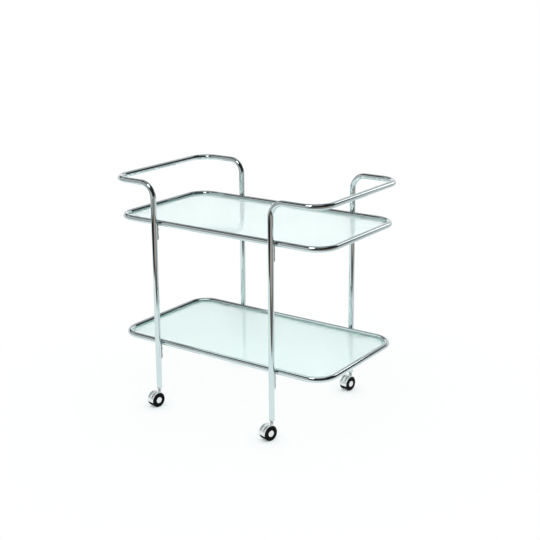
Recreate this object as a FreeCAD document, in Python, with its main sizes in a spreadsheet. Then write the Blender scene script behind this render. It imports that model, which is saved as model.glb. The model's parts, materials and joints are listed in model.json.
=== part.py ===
"""A chrome serving trolley: two bent-tube end frames carry two tube-ringed glass trays on hooded casters.

Millimetres, +Z up, +X along the trolley, origin on the floor at the middle of the four legs.
"""
import FreeCAD, Part
import math
import os

import Sketcher
from FreeCAD import Placement, Rotation, Vector

doc = FreeCAD.newDocument("serving_trolley")
sheet = doc.addObject("Spreadsheet::Sheet", "sizes")

SIZES = [
    # Tubes and trays, measured between tube centre lines
    ("tube_diameter", 20),
    ("tube_wall", 1.5),
    ("tray_length", 868),
    ("tray_width", 470),
    ("tray_corner_radius", 72),
    ("lower_tray_height", 233),
    ("tray_spacing", 437),
    ("drain_hole_diameter", 4),
    ("drain_hole_offset", 60),
    # End frames, measured between tube centre lines
    ("leg_inset", 189),
    ("leg_gap", 0.3),
    ("leg_bend_radius", 50),
    ("handle_rise", 140),
    ("handle_corner_radius", 70),
    # Clearances
    ("seat_gap", 0.05),
    ("running_gap", 0.05),
    ("end_play", 0.3),
    # Glass shelves and what they rest on
    ("glass_thickness", 5),
    ("glass_edge_gap", 1),
    ("glass_edge_bevel", 0.8),
    ("tab_width", 24),
    ("tab_thickness", 2.5),
    ("tab_reach", 26),
    ("tab_heel", 5),
    ("tab_cope", 3),
    ("tab_offset", 64),
    ("pad_diameter", 10),
    ("pad_thickness", 1),
    ("pad_inset", 7),
    # Leg brackets with their screws and rivet nuts
    ("bracket_width", 13),
    ("bracket_thickness", 4),
    ("bracket_top_drop", 5),
    ("bracket_bottom_drop", 62),
    ("upper_screw_drop", 24.5),
    ("lower_screw_drop", 51),
    ("screw_diameter", 4),
    ("screw_length", 11),
    ("screw_head_diameter", 9),
    ("screw_head_height", 5.5),
    ("screw_head_round", 1.5),
    ("screw_socket_width", 3),
    ("screw_socket_depth", 2.5),
    ("nut_diameter", 6),
    ("nut_length", 8.5),
    ("nut_bulge_diameter", 9),
    ("nut_bulge_length", 2),
    # Foot plugs and caster stems
    ("foot_flat_radius", 5.5),
    ("plug_length", 26),
    ("stem_diameter", 8),
    ("stem_reach", 22),
    ("stem_show", 2.8),
    ("stem_collar_diameter", 12),
    ("stem_collar_height", 2),
    ("stem_head_diameter", 10),
    ("stem_head_height", 3),
    ("grip_ring_height", 4),
    ("grip_ring_depth", 0.6),
    ("grip_ring_offset", 9),
    ("grip_ring_split", 3),
    # Casters: headings turn the axle about the stem
    ("wheel_diameter", 52),
    ("wheel_width", 10.5),
    ("wheel_face_inset", 0.6),
    ("tyre_thickness", 4),
    ("tyre_inner_round", 1.5),
    ("tyre_outer_round", 3.5),
    ("hub_length", 6),
    ("axle_diameter", 6),
    ("axle_head_diameter", 9),
    ("axle_head_height", 1.2),
    ("cap_diameter", 22),
    ("cap_skirt", 1.5),
    ("cap_thickness", 2),
    ("cap_proud", 0.8),
    ("cap_edge_round", 1.2),
    ("cap_dimple_diameter", 6),
    ("cap_dimple_depth", 0.6),
    ("caster_trail", 16),
    ("boss_diameter", 13),
    ("boss_length", 26),
    ("web_thickness", 5),
    ("web_first_angle", 78),
    ("web_last_angle", 160),
    ("hood_gap", 0.8),
    ("hood_thickness", 2),
    ("hood_width", 32),
    ("hood_first_angle", -6),
    ("hood_last_angle", 145),
    ("slot_width", 4),
    ("slot_offset", 8),
    ("slot_first_angle", 26),
    ("slot_last_angle", 84),
    ("front_left_heading", -12),
    ("front_right_heading", -17),
    ("rear_left_heading", -10),
    ("rear_right_heading", -9),
]

for row, (alias, number) in enumerate(SIZES, start=1):
    sheet.set(f"A{row}", alias)
    sheet.set(f"B{row}", str(number))
    sheet.setAlias(f"B{row}", alias)
doc.recompute()


class Length:
    """A size worked out from the sheet: its number now, and the expression that keeps it bound."""

    def __init__(self, text, number):
        self.text = text
        self.number = float(number)

    def __add__(self, other):
        other = length(other)
        return Length(f"({self.text} + {other.text})", self.number + other.number)

    def __sub__(self, other):
        other = length(other)
        return Length(f"({self.text} - {other.text})", self.number - other.number)

    def __mul__(self, other):
        other = length(other)
        return Length(f"({self.text} * {other.text})", self.number * other.number)

    def __truediv__(self, other):
        other = length(other)
        return Length(f"({self.text} / {other.text})", self.number / other.number)

    def __neg__(self):
        return Length(f"(0 - {self.text})", -self.number)


def length(value):
    """Take a plain number as a size, so that sums may hold 0 and halves."""
    return value if isinstance(value, Length) else Length(f"({value})", value)


def size(alias):
    """One cell of the sheet."""
    return Length(f"sizes.{alias}", sheet.get(alias))


def root(value):
    return Length(f"sqrt({value.text})", math.sqrt(value.number))


def cosine(angle):
    return Length(f"cos({angle.text})", math.cos(math.radians(angle.number)))


def sine(angle):
    return Length(f"sin({angle.text})", math.sin(math.radians(angle.number)))


# Sizes that several pieces share
tube_radius = size("tube_diameter") / 2
bore_radius = tube_radius - size("tube_wall")
tray_x = size("tray_length") / 2
tray_y = size("tray_width") / 2
leg_x = tray_x - size("leg_inset")
leg_y = tray_y + size("tube_diameter") + size("leg_gap")
tray_heights = {
    "upper": size("lower_tray_height") + size("tray_spacing"),
    "lower": size("lower_tray_height"),
}
handle_x = tray_x
handle_z = tray_heights["upper"] + size("handle_rise")
seat_gap = size("seat_gap")
running_gap = size("running_gap")
end_play = size("end_play")
bracket_seat = tube_radius + seat_gap + size("bracket_thickness")
glass_inset = tube_radius + size("glass_edge_gap")
tab_top = -(tube_radius - size("tab_cope"))
glass_bottom = tab_top + size("pad_thickness") + seat_gap * 2
screw_radius = size("screw_diameter") / 2
nut_radius = size("nut_diameter") / 2
stem_radius = size("stem_diameter") / 2
axle_radius = size("axle_diameter") / 2
wheel_radius = size("wheel_diameter") / 2
wheel_inner_face = size("boss_diameter") / 2 + end_play
hub_face = wheel_inner_face + size("hub_length")
wheel_outer_face = wheel_inner_face + size("wheel_width")
core_radius = wheel_radius - size("tyre_thickness")
boss_top = size("wheel_diameter") + size("hood_gap") + size("hood_thickness")
boss_bottom = boss_top - size("boss_length")
collar_bottom = boss_top + running_gap
collar_top = collar_bottom + size("stem_collar_height")
foot_flat = size("foot_flat_radius")
foot_tip = collar_top + size("stem_show")
leg_end = foot_tip + root(tube_radius * tube_radius - foot_flat * foot_flat)
screw_drops = [size("upper_screw_drop"), size("lower_screw_drop")]
nodes = []


def node(item, label):
    """Keep an object as one finished piece of the trolley under its own name."""
    item.Label = label
    nodes.append(item)
    return item


def place(item, x=0, y=0, z=0):
    """Bind an object's place to the sheet."""
    for axis, value in (("x", x), ("y", y), ("z", z)):
        item.setExpression(f"Placement.Base.{axis}", length(value).text)
    return item


def new_body(name):
    return doc.addObject("PartDesign::Body", name)


def new_sketch(body, plane, offset=0):
    """A sketch on one of the body's own planes, moved along that plane's normal."""
    support = next(item for item in body.Origin.OriginFeatures if item.Role == plane)
    sketch = body.newObject("Sketcher::SketchObject", f"{body.Name}_outline")
    sketch.AttachmentSupport = [(support, "")]
    sketch.MapMode = "FlatFace"
    sketch.setExpression("AttachmentOffset.Base.z", length(offset).text)
    return sketch


def bind(sketch, kind, geometry, point, value):
    """Add one dimension to a sketch and tie it to the sheet."""
    value = length(value)
    if point is None:
        index = sketch.addConstraint(Sketcher.Constraint(kind, geometry, value.number))
    else:
        index = sketch.addConstraint(Sketcher.Constraint(kind, geometry, point, value.number))
    name = f"size_{index}"
    sketch.renameConstraint(index, name)
    sketch.setExpression(f"Constraints.{name}", value.text)


def circle(sketch, x, y, radius):
    """A circle whose centre and radius are bound."""
    x, y = length(x), length(y)
    shape = Part.Circle(Vector(x.number, y.number, 0), Vector(0, 0, 1), radius.number)
    index = sketch.addGeometry(shape, False)
    bind(sketch, "DistanceX", index, 3, x)
    bind(sketch, "DistanceY", index, 3, y)
    bind(sketch, "Radius", index, None, radius)


def route(sketch, start, steps, closed=False):
    """Lines and arcs joined end to end. A step is its end point, or its end point and an arc's centre."""
    here = tuple(length(value) for value in start)
    first = last = None
    for number, step in enumerate(steps):
        closing = closed and number == len(steps) - 1
        there = tuple(length(value) for value in step[0])
        begin = Vector(here[0].number, here[1].number, 0)
        end = Vector(there[0].number, there[1].number, 0)
        clockwise = False
        free = None
        if len(step) == 1:
            index = sketch.addGeometry(Part.LineSegment(begin, end), False)
        else:
            centre = tuple(length(value) for value in step[1])
            middle = Vector(centre[0].number, centre[1].number, 0)
            out, back = begin - middle, end - middle
            clockwise = out.cross(back).z < 0
            if clockwise:
                out, back = back, out
            first_angle = math.atan2(out.y, out.x)
            last_angle = math.atan2(back.y, back.x)
            ring = Part.Circle(middle, Vector(0, 0, 1), out.Length)
            index = sketch.addGeometry(Part.ArcOfCircle(ring, first_angle, last_angle), False)
            chord, spoke = end - begin, end - middle
            if not closing or abs(chord.y) > abs(chord.x):
                bind(sketch, "DistanceX", index, 3, centre[0])
            if not closing or abs(chord.y) <= abs(chord.x):
                bind(sketch, "DistanceY", index, 3, centre[1])
            free = "DistanceX" if abs(spoke.x) > abs(spoke.y) else "DistanceY"
        head, tail = (2, 1) if clockwise else (1, 2)
        if last is None:
            bind(sketch, "DistanceX", index, head, here[0])
            bind(sketch, "DistanceY", index, head, here[1])
            first = (index, head)
        else:
            sketch.addConstraint(Sketcher.Constraint("Coincident", last[0], last[1], index, head))
        if closing:
            sketch.addConstraint(Sketcher.Constraint("Coincident", index, tail, first[0], first[1]))
        else:
            for kind, value in (("DistanceX", there[0]), ("DistanceY", there[1])):
                if kind != free:
                    bind(sketch, kind, index, tail, value)
        last = (index, tail)
        here = there


def pad(body, sketch, thickness, both_sides=False):
    """Thicken an outline along its plane's normal, or half each way."""
    feature = body.newObject("PartDesign::Pad", f"{body.Name}_pad")
    feature.Profile = sketch
    feature.Midplane = both_sides
    feature.setExpression("Length", length(thickness).text)
    doc.recompute()
    return feature


def pocket(body, sketch, depth, both_sides=False, along_normal=False):
    """Cut an outline out of the body, and make sure that the cut met it."""
    before = body.Shape.Volume
    feature = body.newObject("PartDesign::Pocket", f"{body.Name}_pocket")
    feature.Profile = sketch
    feature.Midplane = both_sides
    feature.Reversed = along_normal
    feature.setExpression("Length", length(depth).text)
    doc.recompute()
    if not body.Shape.Volume < before:
        raise RuntimeError(f"{feature.Label} cuts nothing")
    return feature


def revolve(body, sketch, axis):
    """Turn an outline once round one of its sketch's axes."""
    feature = body.newObject("PartDesign::Revolution", f"{body.Name}_turned")
    feature.Profile = sketch
    feature.ReferenceAxis = (sketch, [axis])
    feature.Angle = 360
    doc.recompute()
    return feature


def pipe(body, section, path):
    """Carry a tube's section along its centre line."""
    feature = body.newObject("PartDesign::AdditivePipe", f"{body.Name}_pipe")
    feature.Profile = section
    feature.Spine = path
    doc.recompute()
    return feature


def mirror_inside(body, features, plane):
    """Repeat features on the other side of one of the body's own planes."""
    support = next(item for item in body.Origin.OriginFeatures if item.Role == plane)
    feature = body.newObject("PartDesign::Mirrored", f"{body.Name}_mirrored")
    feature.Originals = features
    feature.MirrorPlane = (support, [""])
    body.Tip = feature
    doc.recompute()
    return feature


def tube_section(body, plane, offset, x, y):
    """A tube's ring-shaped section."""
    sketch = new_sketch(body, plane, offset)
    circle(sketch, x, y, tube_radius)
    circle(sketch, x, y, bore_radius)
    return sketch


def turned(name, outline, plane="XZ_Plane", axis="V_Axis"):
    """A body turned from a closed outline of straight corners, or of corners with an arc's centre."""
    body = new_body(name)
    sketch = new_sketch(body, plane)
    start = outline[0][0]
    route(sketch, start, outline[1:] + [outline[0]], closed=True)
    revolve(body, sketch, axis)
    return body


def mirrored(source, normal):
    """A mirror image across the trolley's middle."""
    item = doc.addObject("Part::Mirroring", f"{source.Name}_mirror")
    item.Source = source
    item.Normal = normal
    return item


def group(sources, name="group"):
    """Separate solids kept together."""
    item = doc.addObject("Part::Compound", name)
    item.Links = sources
    return item


def at_four_legs(source):
    """A piece of the right front leg, repeated at the other three."""
    rear = mirrored(source, Vector(0, 1, 0))
    return [source, rear, mirrored(source, Vector(1, 0, 0)), mirrored(rear, Vector(1, 0, 0))]


def on_both_trays(sources, name):
    """Pieces drawn about a ring's centre height, set at the two trays."""
    for tray, height in tray_heights.items():
        label = f"{tray}_{name}"
        place(node(group(sources, label), label), z=height)


# End frames: leg, bend, arm, corner and half the crossbar, mirrored to the other leg
def end_frames():
    body = new_body("left_end_frame")
    bend = size("leg_bend_radius")
    corner = size("handle_corner_radius")
    bend_x = -(leg_x + bend)
    corner_x = -(handle_x - corner)
    leg_path = new_sketch(body, "XZ_Plane", leg_y)
    route(leg_path, (-leg_x, leg_end), [
        ((-leg_x, handle_z - bend),),
        ((bend_x, handle_z), (bend_x, handle_z - bend)),
        ((corner_x, handle_z),),
    ])
    leg = pipe(body, tube_section(body, "XY_Plane", leg_end, -leg_x, -leg_y), leg_path)
    handle_path = new_sketch(body, "XY_Plane", handle_z)
    route(handle_path, (corner_x, -leg_y), [
        ((-handle_x, corner - leg_y), (corner_x, corner - leg_y)),
        ((-handle_x, 0),),
    ])
    handle = pipe(body, tube_section(body, "YZ_Plane", corner_x, -leg_y, handle_z), handle_path)
    holes = new_sketch(body, "XZ_Plane")
    for height in tray_heights.values():
        for drop in screw_drops:
            circle(holes, -leg_x, height - drop, nut_radius + seat_gap)
    nut_holes = pocket(body, holes, leg_y, along_normal=True)
    mirror_inside(body, [leg, handle, nut_holes], "XZ_Plane")
    node(body, "left_end_frame")
    node(mirrored(body, Vector(1, 0, 0)), "right_end_frame")


# Tray rings: half the loop, mirrored, with drain holes under the rear rail
def tray_rings():
    body = new_body("tray_ring")
    corner = size("tray_corner_radius")
    path = new_sketch(body, "XY_Plane")
    route(path, (0, -tray_y), [
        ((tray_x - corner, -tray_y),),
        ((tray_x, corner - tray_y), (tray_x - corner, corner - tray_y)),
        ((tray_x, tray_y - corner),),
        ((tray_x - corner, tray_y), (tray_x - corner, tray_y - corner)),
        ((0, tray_y),),
    ])
    half = pipe(body, tube_section(body, "YZ_Plane", 0, -tray_y, 0), path)
    drain = new_sketch(body, "XY_Plane")
    circle(drain, size("drain_hole_offset"), tray_y, size("drain_hole_diameter") / 2)
    drain_hole = pocket(body, drain, tube_radius)
    mirror_inside(body, [half, drain_hole], "YZ_Plane")
    on_both_trays([body], "tray_ring")


# Glass shelves: rounded panes with bevelled edges, resting on pads
def glass_shelves():
    body = new_body("glass_shelf")
    x = tray_x - glass_inset
    y = tray_y - glass_inset
    corner = size("tray_corner_radius") - glass_inset
    outline = new_sketch(body, "XY_Plane", glass_bottom)
    route(outline, (corner - x, -y), [
        ((x - corner, -y),),
        ((x, corner - y), (x - corner, corner - y)),
        ((x, y - corner),),
        ((x - corner, y), (x - corner, y - corner)),
        ((corner - x, y),),
        ((-x, y - corner), (corner - x, y - corner)),
        ((-x, corner - y),),
        ((corner - x, -y), (corner - x, corner - y)),
    ], closed=True)
    thickness = size("glass_thickness")
    pane = pad(body, outline, thickness)
    heights = [face.BoundBox.ZLength for face in pane.Shape.Faces]
    flat_faces = [f"Face{i}" for i, high in enumerate(heights, start=1) if high < thickness.number / 2]
    bevel = body.newObject("PartDesign::Chamfer", "glass_shelf_bevel")
    bevel.Base = (pane, flat_faces)
    bevel.setExpression("Size", size("glass_edge_bevel").text)
    body.Tip = bevel
    on_both_trays([body], "glass_shelf")


# Glass tabs: plates low inside the long rails, coped to the tube, each with a clear pad
def glass_tabs():
    tab_x = leg_x + size("tab_offset")
    half_width = size("tab_width") / 2
    inner_y = size("tab_reach") - tray_y
    outer_y = size("tab_heel") - tray_y
    tab = new_body("glass_tab")
    outline = new_sketch(tab, "XY_Plane", tab_top - size("tab_thickness"))
    nose = half_width / 2
    route(outline, (tab_x - half_width, outer_y), [
        ((tab_x + half_width, outer_y),),
        ((tab_x + half_width, inner_y - nose),),
        ((tab_x + half_width - nose, inner_y), (tab_x + half_width - nose, inner_y - nose)),
        ((tab_x - half_width + nose, inner_y),),
        ((tab_x - half_width, inner_y - nose), (tab_x - half_width + nose, inner_y - nose)),
        ((tab_x - half_width, outer_y),),
    ], closed=True)
    pad(tab, outline, size("tab_thickness"))
    cope = new_sketch(tab, "YZ_Plane", tab_x)
    circle(cope, -tray_y, 0, tube_radius + seat_gap)
    pocket(tab, cope, size("tab_width"), both_sides=True)
    on_both_trays(at_four_legs(tab), "glass_tabs")
    cushion = new_body("glass_pad")
    disc = new_sketch(cushion, "XY_Plane", tab_top + seat_gap)
    circle(disc, tab_x, glass_inset + size("pad_inset") - tray_y, size("pad_diameter") / 2)
    pad(cushion, disc, size("pad_thickness"))
    on_both_trays(at_four_legs(cushion), "glass_pads")


# Leg brackets: saddle plates between ring and leg, round at the foot
def leg_brackets():
    body = new_body("leg_bracket")
    half_width = size("bracket_width") / 2
    top = -size("bracket_top_drop")
    foot = half_width - size("bracket_bottom_drop")
    plate = new_sketch(body, "XZ_Plane", leg_y - bracket_seat)
    route(plate, (leg_x - half_width, top), [
        ((leg_x - half_width, foot),),
        ((leg_x, foot - half_width), (leg_x, foot)),
        ((leg_x + half_width, foot), (leg_x, foot)),
        ((leg_x + half_width, top),),
        ((leg_x - half_width, top),),
    ], closed=True)
    pad(body, plate, bracket_seat)
    leg_cope = new_sketch(body, "XY_Plane")
    circle(leg_cope, leg_x, -leg_y, tube_radius + seat_gap)
    pocket(body, leg_cope, size("bracket_bottom_drop"))
    ring_cope = new_sketch(body, "YZ_Plane", leg_x)
    circle(ring_cope, -tray_y, 0, tube_radius + seat_gap)
    pocket(body, ring_cope, size("bracket_width"), both_sides=True)
    holes = new_sketch(body, "XZ_Plane")
    for drop in screw_drops:
        circle(holes, leg_x, -drop, screw_radius + seat_gap)
    pocket(body, holes, leg_y, along_normal=True)
    on_both_trays(at_four_legs(body), "leg_brackets")


# A screw and its rivet nut lie along Y through the bracket into the leg
def screws_and_nuts():
    head_radius = size("screw_head_diameter") / 2
    head = size("screw_head_height")
    socket = size("screw_socket_width") / 2
    socket_floor = head - size("screw_socket_depth")
    shoulder = size("screw_head_round")
    bulge_radius = size("nut_bulge_diameter") / 2
    nut_top = tube_radius - size("tube_wall") / 2 - bracket_seat
    bulge_top = root(bore_radius * bore_radius - bulge_radius * bulge_radius) - seat_gap - bracket_seat
    screws = []
    nuts = []
    for drop in screw_drops:
        screw = turned("bracket_screw", [
            ((0, -size("screw_length")),),
            ((screw_radius, -size("screw_length")),),
            ((screw_radius, seat_gap),),
            ((head_radius, seat_gap),),
            ((head_radius - shoulder, head), (head_radius - shoulder, head - shoulder)),
            ((socket, head),),
            ((socket, socket_floor),),
            ((0, socket_floor),),
        ])
        nut = turned("rivet_nut", [
            ((screw_radius + seat_gap, nut_top - size("nut_length")),),
            ((nut_radius, nut_top - size("nut_length")),),
            ((nut_radius, bulge_top - size("nut_bulge_length")),),
            ((bulge_radius, bulge_top - size("nut_bulge_length")),),
            ((bulge_radius, bulge_top),),
            ((nut_radius, bulge_top),),
            ((nut_radius, nut_top),),
            ((screw_radius + seat_gap, nut_top),),
        ])
        for body in (screw, nut):
            body.Placement = Placement(Vector(0, 0, 0), Rotation(Vector(1, 0, 0), -90))
            place(body, leg_x, bracket_seat - leg_y, -drop)
        screws.append(screw)
        nuts.append(nut)
    on_both_trays(at_four_legs(group(screws)), "bracket_screws")
    on_both_trays(at_four_legs(group(nuts)), "rivet_nuts")


# Foot plugs and stems, drawn about the leg's axis from the floor up
def feet_and_stems():
    plug_radius = bore_radius - seat_gap
    socket = stem_radius + seat_gap
    socket_top = leg_end + size("stem_reach") + seat_gap
    plug_top = leg_end + size("plug_length")
    foot = turned("leg_foot", [
        ((socket, foot_tip),),
        ((foot_flat, foot_tip),),
        ((tube_radius, leg_end - seat_gap), (0, leg_end - seat_gap)),
        ((plug_radius, leg_end - seat_gap),),
        ((plug_radius, plug_top),),
        ((0, plug_top),),
        ((0, socket_top),),
        ((socket, socket_top),),
    ])
    head_radius = size("stem_head_diameter") / 2
    head_top = boss_bottom + size("stem_head_height")
    collar_radius = size("stem_collar_diameter") / 2
    groove_radius = stem_radius - size("grip_ring_depth")
    ring_bottom = leg_end + size("grip_ring_offset")
    ring_top = ring_bottom + size("grip_ring_height")
    stem = turned("caster_stem", [
        ((0, boss_bottom),),
        ((head_radius, boss_bottom),),
        ((head_radius, head_top),),
        ((stem_radius, head_top),),
        ((stem_radius, collar_bottom),),
        ((collar_radius, collar_bottom),),
        ((collar_radius, collar_top),),
        ((stem_radius, collar_top),),
        ((stem_radius, ring_bottom),),
        ((groove_radius, ring_bottom),),
        ((groove_radius, ring_top),),
        ((stem_radius, ring_top),),
        ((stem_radius, leg_end + size("stem_reach")),),
        ((0, leg_end + size("stem_reach")),),
    ])
    grip = turned("stem_grip_ring", [
        ((groove_radius + seat_gap, ring_bottom + seat_gap),),
        ((stem_radius, ring_bottom + seat_gap),),
        ((stem_radius, ring_top - seat_gap),),
        ((groove_radius + seat_gap, ring_top - seat_gap),),
    ])
    split = new_sketch(grip, "XY_Plane", ring_top)
    half_split = size("grip_ring_split") / 2
    route(split, (-half_split, 0), [
        ((half_split, 0),),
        ((half_split, stem_radius * 2),),
        ((-half_split, stem_radius * 2),),
        ((-half_split, 0),),
    ], closed=True)
    pocket(grip, split, size("grip_ring_height"))
    place(grip, leg_x, -leg_y)
    node(group(at_four_legs(grip)), "stem_grip_rings")
    for name, x, y in corners():
        for piece, source in (("leg_foot", foot), ("caster_stem", stem)):
            label = f"{name}_{piece}"
            place(node(group([source], label), label), x, y)


def corners():
    """The four legs' names and axes."""
    return [
        ("front_left", -leg_x, -leg_y),
        ("front_right", leg_x, -leg_y),
        ("rear_left", -leg_x, leg_y),
        ("rear_right", leg_x, leg_y),
    ]


def polar(radius, angle):
    """A point of the caster's side view, about the axle, counted up from the trailing side."""
    return (-size("caster_trail") - radius * cosine(angle), wheel_radius + radius * sine(angle))


def sector(sketch, inner, outer, first, last):
    """A ring's sector about the axle."""
    axle = (-size("caster_trail"), wheel_radius)
    route(sketch, polar(inner, first), [
        (polar(outer, first),),
        (polar(outer, last), axle),
        (polar(inner, last),),
        (polar(inner, first), axle),
    ], closed=True)


# Caster housing: hood with a slot over each wheel, web, axle boss and stem boss
def caster_housing():
    body = new_body("caster_housing")
    axle_y = -size("caster_trail")
    hood_inner = wheel_radius + size("hood_gap")
    hood_outer = hood_inner + size("hood_thickness")
    hood = new_sketch(body, "YZ_Plane")
    sector(hood, hood_inner, hood_outer, size("hood_first_angle"), size("hood_last_angle"))
    pad(body, hood, size("hood_width"), both_sides=True)
    for slot_x in (size("slot_offset"), -size("slot_offset")):
        slot = new_sketch(body, "YZ_Plane", slot_x)
        sector(slot, hood_inner - size("hood_gap"), hood_outer + size("hood_gap"),
               size("slot_first_angle"), size("slot_last_angle"))
        pocket(body, slot, size("slot_width"), both_sides=True)
    web = new_sketch(body, "YZ_Plane")
    sector(web, axle_radius, hood_inner + size("hood_thickness") / 2,
           size("web_first_angle"), size("web_last_angle"))
    pad(body, web, size("web_thickness"), both_sides=True)
    axle_boss = new_sketch(body, "YZ_Plane")
    circle(axle_boss, axle_y, wheel_radius, size("boss_diameter") / 2)
    pad(body, axle_boss, size("boss_diameter"), both_sides=True)
    stem_boss = new_sketch(body, "XY_Plane", boss_bottom)
    circle(stem_boss, 0, 0, size("boss_diameter") / 2)
    pad(body, stem_boss, size("boss_length"))
    bore = new_sketch(body, "XY_Plane", boss_top)
    circle(bore, 0, 0, stem_radius + running_gap)
    pocket(body, bore, size("boss_length"))
    head_seat = new_sketch(body, "XY_Plane", boss_bottom)
    circle(head_seat, 0, 0, size("stem_head_diameter") / 2 + running_gap)
    pocket(body, head_seat, size("stem_head_height") + running_gap, along_normal=True)
    axle_hole = new_sketch(body, "YZ_Plane")
    circle(axle_hole, axle_y, wheel_radius, axle_radius + seat_gap)
    pocket(body, axle_hole, size("boss_diameter"), both_sides=True)
    return body


# Wheel pieces, drawn about the axle along X: core, tyre, hub cap and the axle with peened ends
def wheel_pieces():
    cap_radius = size("cap_diameter") / 2
    recess_radius = cap_radius + seat_gap
    core_face = wheel_outer_face - size("wheel_face_inset")
    core = turned("wheel_core", [
        ((wheel_inner_face, axle_radius + running_gap),),
        ((hub_face, axle_radius + running_gap),),
        ((hub_face, recess_radius),),
        ((core_face, recess_radius),),
        ((core_face, core_radius),),
        ((wheel_inner_face, core_radius),),
    ], "XY_Plane", "H_Axis")
    inner_round = size("tyre_inner_round")
    outer_round = size("tyre_outer_round")
    tyre = turned("tyre", [
        ((wheel_inner_face, core_radius + seat_gap),),
        ((wheel_outer_face, core_radius + seat_gap),),
        ((wheel_outer_face, wheel_radius - outer_round),),
        ((wheel_outer_face - outer_round, wheel_radius),
         (wheel_outer_face - outer_round, wheel_radius - outer_round)),
        ((wheel_inner_face + inner_round, wheel_radius),),
        ((wheel_inner_face, wheel_radius - inner_round),
         (wheel_inner_face + inner_round, wheel_radius - inner_round)),
    ], "XY_Plane", "H_Axis")
    skirt_radius = cap_radius - size("cap_skirt")
    cap_face = wheel_outer_face + size("cap_proud")
    edge = size("cap_edge_round")
    dimple = size("cap_dimple_diameter") / 2
    cap = turned("hub_cap", [
        ((hub_face + seat_gap, skirt_radius),),
        ((cap_face - size("cap_thickness"), skirt_radius),),
        ((cap_face - size("cap_thickness"), 0),),
        ((cap_face - size("cap_dimple_depth"), 0),),
        ((cap_face - size("cap_dimple_depth"), dimple),),
        ((cap_face, dimple),),
        ((cap_face, cap_radius - edge),),
        ((cap_face - edge, cap_radius), (cap_face - edge, cap_radius - edge)),
        ((hub_face + seat_gap, cap_radius),),
    ], "XY_Plane", "H_Axis")
    head_radius = size("axle_head_diameter") / 2
    head_face = hub_face + end_play
    end_face = head_face + size("axle_head_height")
    axle = turned("wheel_axle", [
        ((-end_face, 0),),
        ((end_face, 0),),
        ((end_face, head_radius),),
        ((head_face, head_radius),),
        ((head_face, axle_radius),),
        ((-head_face, axle_radius),),
        ((-head_face, head_radius),),
        ((-end_face, head_radius),),
    ], "XY_Plane", "H_Axis")
    return core, tyre, cap, axle


# Casters: the same pieces at each leg, turned to that caster's own heading
def casters():
    housing = caster_housing()
    core, tyre, cap, axle = wheel_pieces()
    across = Vector(1, 0, 0)
    sides = [("right", [core, tyre, cap]), ("left", [mirrored(item, across) for item in (core, tyre, cap)])]
    for name, x, y in corners():
        heading = size(f"{name}_heading")
        axle_x = x + size("caster_trail") * sine(heading)
        axle_y = y - size("caster_trail") * cosine(heading)
        copies = [(f"{name}_caster_housing", housing, x, y, 0),
                  (f"{name}_caster_axle", axle, axle_x, axle_y, wheel_radius)]
        for side, pieces in sides:
            for piece, source in zip(("wheel", "tyre", "hub_cap"), pieces):
                copies.append((f"{name}_caster_{side}_{piece}", source, axle_x, axle_y, wheel_radius))
        for label, source, place_x, place_y, place_z in copies:
            item = node(group([source], label), label)
            place(item, place_x, place_y, place_z)
            item.setExpression("Placement.Rotation.Angle", heading.text)


end_frames()
tray_rings()
glass_shelves()
glass_tabs()
leg_brackets()
screws_and_nuts()
feet_and_stems()
casters()
doc.recompute()

for item in doc.Objects:
    if "Invalid" in item.State or "Error" in item.State:
        raise RuntimeError(f"{item.Label} failed: {item.State}")
for item in nodes:
    if item.Shape.isNull() or not item.Shape.isValid() or not item.Shape.Solids:
        raise RuntimeError(f"{item.Label} has no valid solid")

os.makedirs("parts", exist_ok=True)
for item in nodes:
    solids = item.Shape.Solids
    shape = solids[0] if len(solids) == 1 else Part.makeCompound(solids)
    shape.exportStep(f"parts/{item.Label}.step")
    print(f"{item.Label}: {len(solids)} solids, {shape.Volume:.1f} mm3")
print(f"{len(nodes)} pieces written")
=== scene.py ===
"""Finished looks of the chrome serving trolley, laid out as an add-on and run as a script.

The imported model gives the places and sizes. Skins of chrome tube, frosted glass, hoods and wheels are
laid over it, the small fittings keep their own solids, and a white studio stands around them.
"""
import json
import math
from collections import namedtuple

import bpy
import numpy as np
from bpy.props import FloatProperty, FloatVectorProperty, IntProperty, PointerProperty
from bpy.types import Operator, Panel, PropertyGroup
from mathutils import Matrix, Vector


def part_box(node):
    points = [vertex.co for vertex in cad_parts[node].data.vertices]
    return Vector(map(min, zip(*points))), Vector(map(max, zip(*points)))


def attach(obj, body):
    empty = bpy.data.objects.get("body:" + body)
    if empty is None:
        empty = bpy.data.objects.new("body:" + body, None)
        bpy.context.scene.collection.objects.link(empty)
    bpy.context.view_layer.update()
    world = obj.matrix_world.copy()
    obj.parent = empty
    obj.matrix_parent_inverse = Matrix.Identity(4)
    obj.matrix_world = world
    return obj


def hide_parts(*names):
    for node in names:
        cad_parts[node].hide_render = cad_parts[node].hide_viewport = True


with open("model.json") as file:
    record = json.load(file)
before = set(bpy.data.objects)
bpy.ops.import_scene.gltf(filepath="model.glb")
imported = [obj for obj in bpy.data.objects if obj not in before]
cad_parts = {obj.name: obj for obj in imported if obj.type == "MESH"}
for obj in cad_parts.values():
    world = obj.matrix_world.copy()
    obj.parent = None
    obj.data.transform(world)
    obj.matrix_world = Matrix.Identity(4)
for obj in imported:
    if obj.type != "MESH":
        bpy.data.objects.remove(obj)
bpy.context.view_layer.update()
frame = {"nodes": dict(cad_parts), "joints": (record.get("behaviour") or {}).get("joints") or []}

bl_info = {
    "name": "Chrome Serving Trolley",
    "version": (1, 0, 0),
    "blender": (4, 5, 0),
    "location": "View3D > Sidebar > Trolley",
    "description": "Dresses the frame of a serving trolley in chrome tube, frosted glass and hooded casters",
    "category": "Object",
}

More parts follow.
